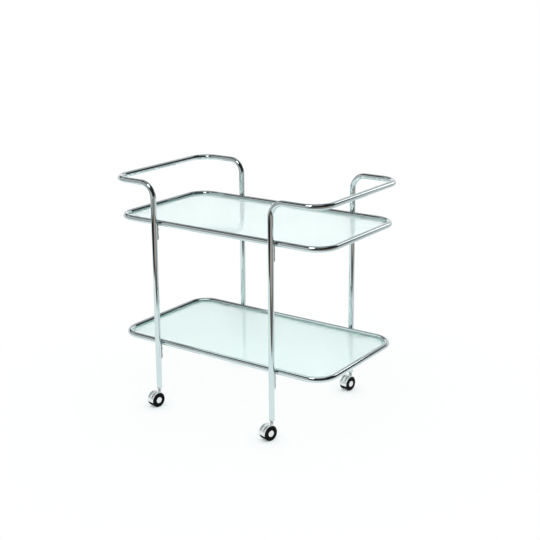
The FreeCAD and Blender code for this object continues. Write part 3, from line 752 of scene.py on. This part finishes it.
class TROLLEY_OT_tray_rings(Operator):
    """Lay chrome tube over the two tray rings: closed loops with four round corners."""
    bl_idname = "trolley.tray_rings"
    bl_label = "Tray rings"

    def execute(self, context):
        sizes = context.scene.trolley_tubes
        for tray in TRAYS:
            z = TRAY_HEIGHTS[tray]
            corners = [(TRAY_X, -TRAY_Y, z), (TRAY_X, TRAY_Y, z), (-TRAY_X, TRAY_Y, z), (-TRAY_X, -TRAY_Y, z)]
            path = bent_path(corners, [sizes.tray_corner] * 4, sizes.bend_steps, closed=True)
            tube = round_tube(*path, (0, 0, 1), TUBE_RADIUS, sizes.sides, closed=True)
            node = f"{tray}_tray_ring"
            new_piece(f"{node}_tube", [tube], finish("chrome_plate"), "frame", [node])
        return {"FINISHED"}


def rounded_outline(half_x, half_y, corner, steps):
    """A rectangle's outline with round corners, anticlockwise: corner centre + r (cos a, sin a)."""
    signs = np.array([(1, 1), (-1, 1), (-1, -1), (1, -1)])[:, None]
    quarter = np.linspace(0, math.pi / 2, steps + 1) + np.arange(4)[:, None] * math.pi / 2
    centres = signs * (half_x - corner, half_y - corner)
    return (centres + corner * np.stack([np.cos(quarter), np.sin(quarter)], -1)).reshape(-1, 2)


def pane_skin(half_x, half_y, sizes):
    """A pane: outlines that spread over the underside, climb the round edge and close over the top.

    At edge angle a the outline is drawn in by e (1 - cos a) and lies at the edge's height plus e sin a.
    Flat rows are the edge's outline times a share from 0 to 1.
    """
    edge = sizes.edge_round
    climb = np.radians(PANE_EDGE_ANGLES)
    angles = np.concatenate([climb, -climb[::-1]])
    inset = edge * (1 - np.cos(angles))
    base = np.repeat([PANE_BOTTOM + edge, PANE_TOP - edge], len(climb))
    height = base + edge * np.sin(angles)
    loops = [rounded_outline(half_x - d, half_y - d, sizes.corner - d, sizes.corner_steps) for d in inset]
    shares = np.array(PANE_SHARES)
    flat = loops[0][None] * shares[:, None, None]
    plan = np.concatenate([flat, loops, flat[::-1]])
    heights = np.concatenate([np.full(len(shares), height[0]), height, np.full(len(shares), height[-1])])
    rows = np.concatenate([plan, np.broadcast_to(heights[:, None, None], (*plan.shape[:2], 1))], -1)
    on_rim = np.zeros(rows.shape[:2])
    on_rim[len(shares):-len(shares)] = 1.0
    return rows, np.append(on_rim.ravel(), [0.0, 0.0])


class TROLLEY_OT_glass_shelves(Operator):
    """Lay the two frosted panes inside their rings."""
    bl_idname = "trolley.glass_shelves"
    bl_label = "Glass shelves"

    def execute(self, context):
        rows, on_rim = pane_skin(pane_high.x, pane_high.y, context.scene.trolley_glass)
        for tray in TRAYS:
            part = moved(loft(rows), origin=(0, 0, TRAY_HEIGHTS[tray]))
            node = f"{tray}_glass_shelf"
            piece = new_piece(f"{node}_pane", [part], finish("satin_glass"), f"{tray}_shelf",
                              [node])
            mask = piece.data.attributes.new(RIM_MASK, "FLOAT", "POINT")
            mask.data.foreach_set("value", on_rim.astype(np.float32))
        return {"FINISHED"}


def screw_skin(sizes):
    """A round-head screw along Z, its seat at zero, with a hexagon socket.

    The shoulder is a quarter circle. The socket's wall is at apothem / cos(a - 60 round(a / 60)).
    """
    angle = np.arange(sizes.sides) * 2 * math.pi / sizes.sides
    sixth = math.pi / 3
    hexagon = sizes.socket_apothem / np.cos(angle - sixth * np.round(angle / sixth))
    flat = sizes.head_radius - sizes.head_round
    shoulder = arc((flat, sizes.head_height - sizes.head_round), sizes.head_round, 0, 90)
    outline = np.vstack([(flat, 0), (sizes.head_radius, 0), shoulder])
    floor = sizes.head_height - sizes.socket_depth
    radius = np.vstack([outline[:, :1] + 0 * angle, hexagon, hexagon, SOCKET_TIP_SHARE * hexagon])
    height = np.append(outline[:, 1], [sizes.head_height, floor, floor - sizes.socket_point])
    rows = np.stack([radius * np.cos(angle), radius * np.sin(angle), height[:, None] + 0 * angle], -1)
    return loft(rows)


class TROLLEY_OT_bracket_screws(Operator):
    """Set two round-head screws in each leg bracket."""
    bl_idname = "trolley.bracket_screws"
    bl_label = "Bracket screws"

    def execute(self, context):
        sizes = context.scene.trolley_screws
        screw = screw_skin(sizes)
        seat = LEG_Y - TUBE_RADIUS - sizes.seat_gap - sizes.bracket_thickness
        for tray in TRAYS:
            parts = []
            for x in (-LEG_X, LEG_X):
                for side in (-1.0, 1.0):
                    axes = np.array([(side, 0, 0), (0, 0, 1), (0, -side, 0)])
                    for drop in (sizes.upper_drop, sizes.lower_drop):
                        parts.append(moved(screw, axes, (x, side * seat, TRAY_HEIGHTS[tray] - drop)))
            new_piece(f"{tray}_bracket_screw_heads", parts, finish("screw_plate"), "frame",
                      [f"{tray}_bracket_screws"])
        return {"FINISHED"}


class TROLLEY_OT_small_fittings(Operator):
    """Give the small fittings that keep their solids their finishes."""
    bl_idname = "trolley.small_fittings"
    bl_label = "Small fittings"

    def execute(self, context):
        finishes = {"stem_grip_rings": "stem_plate"}
        for tray in TRAYS:
            finishes[f"{tray}_leg_brackets"] = "satin_steel"
            # The tabs take the darker copy of the steel: painted shade under the panes
            finishes[f"{tray}_glass_tabs"] = "tab_steel"
            finishes[f"{tray}_rivet_nuts"] = "satin_steel"
            finishes[f"{tray}_glass_pads"] = "soft_pad"
        for corner in CORNERS:
            finishes[f"{corner}_caster_axle"] = "stem_plate"
        for node, name in finishes.items():
            for slot in frame["nodes"][node].material_slots:
                slot.material = finish(name)
        return {"FINISHED"}


def leg_axis(corner):
    """The swivel axis of a caster, at floor level."""
    x, y, _ = JOINTS[f"{corner}_swivel"]["pos_m"]
    return np.array([x, y, 0.0])


def foot_profile(sizes):
    """A leg foot: the flat, a dome that is an arc about the tube's end, and the joint with the tube."""
    rise = math.degrees(math.acos(sizes.foot_flat / TUBE_RADIUS))
    dome = arc((0, LEG_END), TUBE_RADIUS, -rise, 0, FINE_ARC)
    return np.vstack([(FOOT_BORE_SHARE * sizes.stem_radius, dome[0, 1]), dome])


def boss_top(sizes):
    """Height of the stem boss, level with the hood's crown."""
    return 2 * WHEEL_RADIUS + sizes.hood_gap + sizes.hood_thickness


def stem_profile(sizes):
    """A caster stem from inside the boss to inside the foot, with its rounded collar."""
    ease = COLLAR_EASE_SHARE * sizes.collar_height
    collar = boss_top(sizes) + sizes.seat_gap
    top = collar + sizes.collar_height
    radius = sizes.collar_radius
    return np.vstack([
        (sizes.stem_radius, collar - sizes.stem_hidden),
        (sizes.stem_radius, collar),
        arc((radius - ease, collar + ease), ease, -90, 0, SMALL_ARC),
        arc((radius - ease, top - ease), ease, 0, 90, SMALL_ARC),
        (sizes.stem_radius, top),
        (sizes.stem_radius, LEG_END + sizes.stem_hidden),
    ])


class TROLLEY_OT_feet_and_stems(Operator):
    """Turn the four leg feet and caster stems."""
    bl_idname = "trolley.feet_and_stems"
    bl_label = "Feet and stems"

    def execute(self, context):
        sizes = context.scene.trolley_casters
        for corner in CORNERS:
            origin = leg_axis(corner)
            foot = moved(turned(foot_profile(sizes), sizes.sides), origin=origin)
            stem = moved(turned(stem_profile(sizes), sizes.sides), origin=origin)
            new_piece(f"{corner}_foot_dome", [foot], finish("chrome_plate"), "frame",
                      [f"{corner}_leg_foot"])
            new_piece(f"{corner}_stem_pin", [stem], finish("stem_plate"), "frame",
                      [f"{corner}_caster_stem"])
        return {"FINISHED"}


def caster_axes(corner):
    """A caster's own frame: X along the axle to the right wheel, Y ahead, Z up."""
    across = np.array(JOINTS[f"{corner}_right_spin"]["axis"])
    up = np.array([0.0, 0.0, 1.0])
    return np.stack([across, np.cross(up, across), up])


def axle_place(corner):
    """Centre of a caster's axle."""
    return np.array(JOINTS[f"{corner}_right_spin"]["pos_m"])


WHEEL_RADIUS = float(axle_place(CORNERS[0])[2])
TRAIL = float(np.linalg.norm((axle_place(CORNERS[0]) - leg_axis(CORNERS[0]))[:2]))


def around_axle(x, radius, angle):
    """A point of a caster: across, and radius and angle about the axle, counted up from the trailing side."""
    return np.stack(np.broadcast_arrays(
        x, -TRAIL - radius * np.cos(angle), WHEEL_RADIUS + radius * np.sin(angle)), -1)


def hood_skin(sizes):
    """The hood: a band about the axle, of radius R - c (x / w)^6 across its width, slotted over each wheel.

    A slot's sides lie s sqrt(1 - t^6) from its middle line, where t runs from -1 to 1 along the slot, so its
    ends are round.
    """
    inner = WHEEL_RADIUS + sizes.hood_gap
    outer = inner + sizes.hood_thickness
    bounds = (sizes.hood_first, sizes.slot_first, sizes.slot_last, sizes.hood_last)
    spans = [np.linspace(a, b, n, endpoint=False) for a, b, n in zip(bounds, bounds[1:], HOOD_ROWS)]
    angle = np.append(np.concatenate(spans), sizes.hood_last)
    along = (2 * angle - sizes.slot_first - sizes.slot_last) / (sizes.slot_last - sizes.slot_first)
    slot = sizes.slot_half_width * np.sqrt(np.clip(1 - along ** HOOD_POWER, SLOT_END_LEAST, 1))[:, None]
    share = np.linspace(0, 1, HOOD_COLUMNS)
    middle = (sizes.slot_offset - slot) * (2 * share - 1)
    beside = sizes.slot_offset + slot + (sizes.hood_half_width - sizes.slot_offset - slot) * share
    x = np.concatenate([-beside[:, ::-1], middle, beside], axis=1)
    crown = sizes.hood_crown * (np.abs(x) / sizes.hood_half_width) ** HOOD_POWER
    outside = around_axle(x, outer - crown, angle[:, None])
    inside = around_axle(x, inner, angle[:, None])
    keep = np.ones((len(angle) - 1, x.shape[1] - 1), bool)
    open_rows = slice(HOOD_ROWS[0], HOOD_ROWS[0] + HOOD_ROWS[1])
    keep[open_rows, [len(share) - 1, 2 * len(share) - 1]] = False
    return thick_sheet(outside, inside, keep)


def web_skin(sizes):
    """The web between the wheels: a ring sector about the axle, as thick as the web."""
    angle = np.linspace(sizes.web_first, sizes.web_last, WEB_ROWS)[:, None]
    reach = WHEEL_RADIUS + sizes.hood_gap + sizes.hood_thickness / 2
    radius = np.linspace(sizes.axle_radius, reach, WEB_COLUMNS)
    right = around_axle(sizes.web_half_thickness, radius[::-1], angle)
    left = around_axle(-sizes.web_half_thickness, radius[::-1], angle)
    return thick_sheet(right, left, np.ones((len(angle) - 1, len(radius) - 1), bool))


def boss_profile(sizes, bottom, top, bore):
    """A bored boss with eased ends, as a closed profile."""
    ease = BOSS_EASE_SHARE * sizes.boss_radius
    radius = sizes.boss_radius
    return np.vstack([
        (bore, bottom),
        arc((radius - ease, bottom + ease), ease, -90, 0, SMALL_ARC),
        arc((radius - ease, top - ease), ease, 0, 90, SMALL_ARC),
        (bore, top),
    ])


class TROLLEY_OT_caster_housings(Operator):
    """Shape the four caster housings: slotted hood, web, stem boss and axle boss."""
    bl_idname = "trolley.caster_housings"
    bl_label = "Caster housings"

    def execute(self, context):
        sizes = context.scene.trolley_casters
        stem_bore = sizes.stem_radius + sizes.stem_bore_gap
        stem_boss = turned(
            boss_profile(sizes, BOSS_BOTTOM, boss_top(sizes), stem_bore), sizes.sides, closed=True)
        along_axle = np.array([(0, 1, 0), (0, 0, 1), (1, 0, 0)])
        axle_boss = moved(
            turned(boss_profile(sizes, -sizes.boss_radius, sizes.boss_radius, sizes.axle_radius),
                   sizes.sides, closed=True),
            along_axle, (0, -TRAIL, WHEEL_RADIUS))
        parts = [hood_skin(sizes), web_skin(sizes), stem_boss, axle_boss]
        for corner in CORNERS:
            placed = [moved(part, caster_axes(corner), leg_axis(corner)) for part in parts]
            new_piece(f"{corner}_hood", placed, finish("hood_plate"), f"{corner}_caster",
                      [f"{corner}_caster_housing"], bevel=sizes.hood_edge_round)
        return {"FINISHED"}


def core_profile(sizes):
    """A wheel core: bore, flat inner face, rim, a face with two raised rings, and the cap's recess.

    Across the face the height is f - c (1 - cos 4 pi t), where t runs from 0 at the rim to 1 at the recess.
    """
    rim = WHEEL_RADIUS - sizes.tyre_thickness
    face = sizes.wheel_outer_face - sizes.core_inset
    recess = sizes.cap_radius + sizes.seat_gap
    share = np.linspace(0, 1, CORE_FACE_POINTS)
    ridge = rim - sizes.edge_ease + (recess - rim + 2 * sizes.edge_ease) * share
    relief = sizes.core_relief * (np.cos(4 * math.pi * share) - 1)
    hub = sizes.cap_seat - sizes.seat_gap
    return np.vstack([
        (sizes.axle_radius, sizes.wheel_inner_face),
        (rim, sizes.wheel_inner_face),
        (rim, face - sizes.edge_ease),
        np.stack([ridge, face + relief], -1),
        (recess, face - sizes.edge_ease),
        (recess, hub),
        (sizes.axle_radius, hub),
    ])


def tyre_profile(sizes):
    """A tyre's section: flat bore and faces, with round tread edges."""
    bore = WHEEL_RADIUS - sizes.tyre_thickness + sizes.seat_gap
    a, b = sizes.tyre_inner_round, sizes.tyre_outer_round
    inside, outside = sizes.wheel_inner_face, sizes.wheel_outer_face
    return np.vstack([
        (bore, inside),
        arc((WHEEL_RADIUS - a, inside + a), a, -90, 0),
        arc((WHEEL_RADIUS - b, outside - b), b, 0, 90, FINE_ARC),
        (bore + sizes.edge_ease, outside),
        (bore, outside - sizes.edge_ease),
    ])


def cap_profile(sizes):
    """A hub cap: skirt, round edge, a gently domed face and a round dimple at the middle.

    The face lies at f - d (r / R)^2 and the dimple at its rim less e (1 - (r / s)^2).
    """
    face = sizes.wheel_outer_face + sizes.cap_proud
    edge = sizes.cap_edge_round
    dimple = sizes.dimple_radius
    flat = sizes.cap_radius - edge
    radius = np.linspace(flat, dimple, CAP_FACE_POINTS)
    dome = face - sizes.cap_dome * (radius / flat) ** 2
    bowl = np.linspace(1, DIMPLE_END_SHARE, DIMPLE_POINTS)
    dish = dome[-1] - sizes.dimple_depth * (1 - bowl ** 2)
    return np.vstack([
        (dimple, sizes.cap_seat),
        (sizes.cap_radius, sizes.cap_seat),
        arc((flat, face - sizes.cap_dome - edge), edge, 0, 90),
        np.stack([radius, dome], -1)[1:],
        np.stack([dimple * bowl, dish], -1)[1:],
    ])


class TROLLEY_OT_wheels(Operator):
    """Turn the eight wheels: core, tyre and hub cap each."""
    bl_idname = "trolley.wheels"
    bl_label = "Wheels"

    def execute(self, context):
        sizes = context.scene.trolley_casters
        skins = [
            ("wheel", "core", turned(core_profile(sizes), sizes.sides, True), "moulded_wheel", "wheel_black"),
            ("tyre", "tread", turned(tyre_profile(sizes), sizes.sides, True), "tread_rubber", "tyre_rubber"),
            ("hub_cap", "cap_disc", turned(cap_profile(sizes), sizes.sides), "pressed_cap", "cap_silver"),
        ]
        for corner in CORNERS:
            across, ahead, up = caster_axes(corner)
            for side, sign in WHEEL_SIDES.items():
                axes = np.stack([sign * ahead, up, sign * across])
                for node, name, skin, surface, slot in skins:
                    part = moved(skin, axes, axle_place(corner))
                    new_piece(f"{corner}_{side}_{name}", [part], finish(surface),
                              f"{corner}_{side}_wheel", [f"{corner}_caster_{side}_{node}"])
        return {"FINISHED"}


# Stage

def studio_panel():
    """Shared group: a soft-edged panel of the studio, 1 inside its bearing and height and 0 outside."""
    name = "studio_panel"
    if name in bpy.data.node_groups:
        return bpy.data.node_groups[name]
    tree, given, result = new_group(
        name,
        [("Direction", "Vector"), ("Facing", "Vector"), ("Half Span", "Float"), ("Lowest", "Float"),
         ("Highest", "Float"), ("Soft", "Float")],
        [("Mask", "Float")])
    height = put(tree, "ShaderNodeSeparateXYZ", {"Vector": given.outputs["Direction"]}).outputs["Z"]
    elevation = put(tree, "ShaderNodeMath", {0: height}, operation="ARCSINE").outputs["Value"]
    level_share = put(tree, "ShaderNodeMath", {0: elevation}, operation="COSINE").outputs["Value"]
    along = put(tree, "ShaderNodeVectorMath", {0: given.outputs["Direction"], 1: given.outputs["Facing"]},
                operation="DOT_PRODUCT").outputs["Value"]
    turned_by = put(tree, "ShaderNodeMath", {0: along, 1: level_share}, operation="DIVIDE").outputs["Value"]
    bearing = put(tree, "ShaderNodeMath", {0: turned_by}, operation="ARCCOSINE").outputs["Value"]

    def inside(value, edge, way):
        past = put(tree, "ShaderNodeMath", {0: value, 1: edge}, operation="SUBTRACT").outputs["Value"]
        share = put(tree, "ShaderNodeMath", {0: past, 1: given.outputs["Soft"]}, operation="DIVIDE")
        return put(tree, "ShaderNodeMapRange",
                   {"Value": share.outputs["Value"], "From Min": -0.5 * way, "From Max": 0.5 * way},
                   interpolation_type="SMOOTHSTEP").outputs["Result"]

    mask = inside(bearing, given.outputs["Half Span"], -1.0)
    for edge in (inside(elevation, given.outputs["Lowest"], 1.0),
                 inside(elevation, given.outputs["Highest"], -1.0)):
        mask = put(tree, "ShaderNodeMath", {0: mask, 1: edge}, operation="MULTIPLY").outputs["Value"]
    tree.links.new(mask, result.inputs["Mask"])
    return tree


def level_way(settings, bearing):
    """The level direction at a bearing in degrees from the camera's side."""
    turn = settings.camera_azimuth - math.pi / 2 + math.radians(bearing)
    return math.cos(turn), math.sin(turn), 0.0


def studio_world(settings):
    """White to the camera and through glass; to mirrors a dark room with the panels of light around it."""
    world = bpy.data.worlds.new("studio")
    bpy.context.scene.world = world
    world.use_nodes = True
    tree = world.node_tree
    ray = put(tree, "ShaderNodeLightPath")
    direction = put(tree, "ShaderNodeTexCoord").outputs["Generated"]
    mirrored = ROOM_TONE
    for panel in STUDIO_PANELS:
        lit = put(tree, "ShaderNodeGroup", node_tree=studio_panel())
        tree.links.new(direction, lit.inputs["Direction"])
        lit.inputs["Facing"].default_value = level_way(settings, panel.bearing)
        for socket, angle in (("Half Span", panel.half_span), ("Lowest", panel.lowest),
                              ("Highest", panel.highest), ("Soft", panel.soft)):
            lit.inputs[socket].default_value = math.radians(angle)
        mirrored = put(tree, "ShaderNodeMix", {"Factor": lit.outputs["Mask"], "A": mirrored,
                                               "B": rgba((panel.level,) * 3)},
                       data_type="RGBA").outputs["Result"]
    soft = put(tree, "ShaderNodeMix",
               {"Factor": ray.outputs["Is Glossy Ray"], "A": SOFT_LIGHT, "B": mirrored}, data_type="RGBA")
    seen = put(tree, "ShaderNodeMath",
               {0: ray.outputs["Is Camera Ray"], 1: ray.outputs["Is Transmission Ray"]}, operation="MAXIMUM")
    colour = put(tree, "ShaderNodeMix",
                 {"Factor": seen.outputs["Value"], "A": soft.outputs["Result"], "B": WHITE}, data_type="RGBA")
    tree.links.new(colour.outputs["Result"], tree.nodes["Background"].inputs["Color"])


def sweep_floor(settings):
    """White paper with a faint shadow under the trolley, deeper where the wheels touch it.

    Mirrors see the paper give way to other tones.
    """
    half = FLOOR_HALF
    mesh = bpy.data.meshes.new("floor")
    mesh.from_pydata(
        [(-half, -half, 0), (half, -half, 0), (half, half, 0), (-half, half, 0)], [], [(0, 1, 2, 3)])
    floor = bpy.data.objects.new("floor", mesh)
    bpy.context.scene.collection.objects.link(floor)
    material = bpy.data.materials.new("white_sweep")
    material.use_nodes = True
    mesh.materials.append(material)
    tree = material.node_tree
    tree.nodes.remove(tree.nodes["Principled BSDF"])
    ray = put(tree, "ShaderNodeLightPath")
    place = put(tree, "ShaderNodeTexCoord").outputs["Object"]
    mirrored = MIRRORED_PAPER
    for bearing, reach, fade, tone in FLOOR_TONES:
        along = put(tree, "ShaderNodeVectorMath", {0: place, 1: level_way(settings, bearing)},
                    operation="DOT_PRODUCT")
        past = put(tree, "ShaderNodeMapRange",
                   {"Value": along.outputs["Value"], "From Min": reach, "From Max": reach + fade})
        mirrored = put(tree, "ShaderNodeMix", {"Factor": past.outputs["Result"], "A": mirrored, "B": tone},
                       data_type="RGBA").outputs["Result"]
    distance = put(tree, "ShaderNodeVectorMath", {0: place}, operation="LENGTH")
    glow_share = put(tree, "ShaderNodeMapRange",
                     {"Value": distance.outputs["Value"], "From Min": settings.glow_near,
                      "From Max": settings.glow_far, "To Min": settings.glow_least})
    # Ambient occlusion takes plain white away near the wheels: painted contact shade, through which the
    # paper's own lit shadow also shows
    open_sky = put(tree, "ShaderNodeAmbientOcclusion", {"Distance": settings.contact_reach},
                   samples=CONTACT_SAMPLES)
    white_share = put(tree, "ShaderNodeMath", {0: glow_share.outputs["Result"], 1: open_sky.outputs["AO"]},
                      operation="MULTIPLY")
    paper = put(tree, "ShaderNodeBsdfDiffuse", {"Color": PAPER})
    glow = put(tree, "ShaderNodeEmission", {"Color": WHITE})
    seen = put(tree, "ShaderNodeMixShader", {0: white_share.outputs["Value"], 1: paper.outputs["BSDF"],
                                             2: glow.outputs["Emission"]})
    reflected = put(tree, "ShaderNodeEmission", {"Color": mirrored})
    by_mirror = put(tree, "ShaderNodeMath",
                    {0: ray.outputs["Is Glossy Ray"], 1: ray.outputs["Is Transmission Ray"]},
                    operation="SUBTRACT", use_clamp=True)
    shader = put(tree, "ShaderNodeMixShader", {0: by_mirror.outputs["Value"], 1: seen.outputs["Shader"],
                                               2: reflected.outputs["Emission"]})
    tree.links.new(shader.outputs["Shader"], tree.nodes["Material Output"].inputs["Surface"])


def add_lamp(name, place, target, width, depth, watts):
    """A soft rectangular lamp that faces its target."""
    lamp = bpy.data.lights.new(name, "AREA")
    lamp.shape = "RECTANGLE"
    lamp.size = width
    lamp.size_y = depth
    lamp.energy = watts
    holder = bpy.data.objects.new(name, lamp)
    holder.location = place
    holder.rotation_euler = (Vector(target) - Vector(place)).to_track_quat("-Z", "Y").to_euler()
    bpy.context.scene.collection.objects.link(holder)


def add_camera(settings):
    """The camera on its azimuth and elevation about the target, leaned by its roll."""
    azimuth, elevation = settings.camera_azimuth, settings.camera_elevation
    back = Vector((math.sin(azimuth) * math.cos(elevation), -math.cos(azimuth) * math.cos(elevation),
                   math.sin(elevation)))
    level = Vector((math.cos(azimuth), math.sin(azimuth), 0.0))
    upright = back.cross(level)
    lean = settings.camera_roll
    right = math.cos(lean) * level + math.sin(lean) * upright
    up = math.cos(lean) * upright - math.sin(lean) * level
    data = bpy.data.cameras.new("camera")
    data.sensor_fit = "HORIZONTAL"
    data.lens = settings.camera_focal_share * data.sensor_width
    data.shift_y = settings.camera_shift
    camera = bpy.data.objects.new("camera", data)
    turn = Matrix((right, up, back)).transposed().to_4x4()
    camera.matrix_world = Matrix.Translation(
        Vector(settings.camera_target) + settings.camera_distance * back) @ turn
    bpy.context.scene.collection.objects.link(camera)
    bpy.context.scene.camera = camera


class TROLLEY_OT_stage(Operator):
    """Stand the trolley in a white studio and set the camera."""
    bl_idname = "trolley.stage"
    bl_label = "Stage"

    def execute(self, context):
        settings = context.scene.trolley_stage
        context.scene.view_settings.view_transform = "Standard"
        studio_world(settings)
        sweep_floor(settings)
        for lamp in LAMPS:
            add_lamp(*lamp)
        add_camera(settings)
        return {"FINISHED"}


class TROLLEY_PT_sidebar(Panel):
    """Lists the pieces in the order in which they are made."""
    bl_idname = "TROLLEY_PT_sidebar"
    bl_label = "Serving trolley"
    bl_space_type = "VIEW_3D"
    bl_region_type = "UI"
    bl_category = "Trolley"

    def draw(self, context):
        for step in STEPS:
            self.layout.operator(step.bl_idname)


SETTINGS = {
    "trolley_tubes": TubeSizes,
    "trolley_glass": GlassSizes,
    "trolley_screws": ScrewSizes,
    "trolley_casters": CasterSizes,
    "trolley_colours": FinishColours,
    "trolley_stage": StageSettings,
}
STEPS = (
    TROLLEY_OT_end_frames,
    TROLLEY_OT_tray_rings,
    TROLLEY_OT_glass_shelves,
    TROLLEY_OT_bracket_screws,
    TROLLEY_OT_small_fittings,
    TROLLEY_OT_feet_and_stems,
    TROLLEY_OT_caster_housings,
    TROLLEY_OT_wheels,
    TROLLEY_OT_stage,
)
CLASSES = (*SETTINGS.values(), *STEPS, TROLLEY_PT_sidebar)


def register():
    for item in CLASSES:
        bpy.utils.register_class(item)
    for name, group in SETTINGS.items():
        setattr(bpy.types.Scene, name, PointerProperty(type=group))


def unregister():
    for name in SETTINGS:
        delattr(bpy.types.Scene, name)
    for item in reversed(CLASSES):
        bpy.utils.unregister_class(item)


def main():
    register()
    bpy.ops.trolley.end_frames()
    bpy.ops.trolley.tray_rings()
    bpy.ops.trolley.glass_shelves()
    bpy.ops.trolley.bracket_screws()
    bpy.ops.trolley.small_fittings()
    bpy.ops.trolley.feet_and_stems()
    bpy.ops.trolley.caster_housings()
    bpy.ops.trolley.wheels()
    bpy.ops.trolley.stage()


if __name__ == "__main__":
    main()
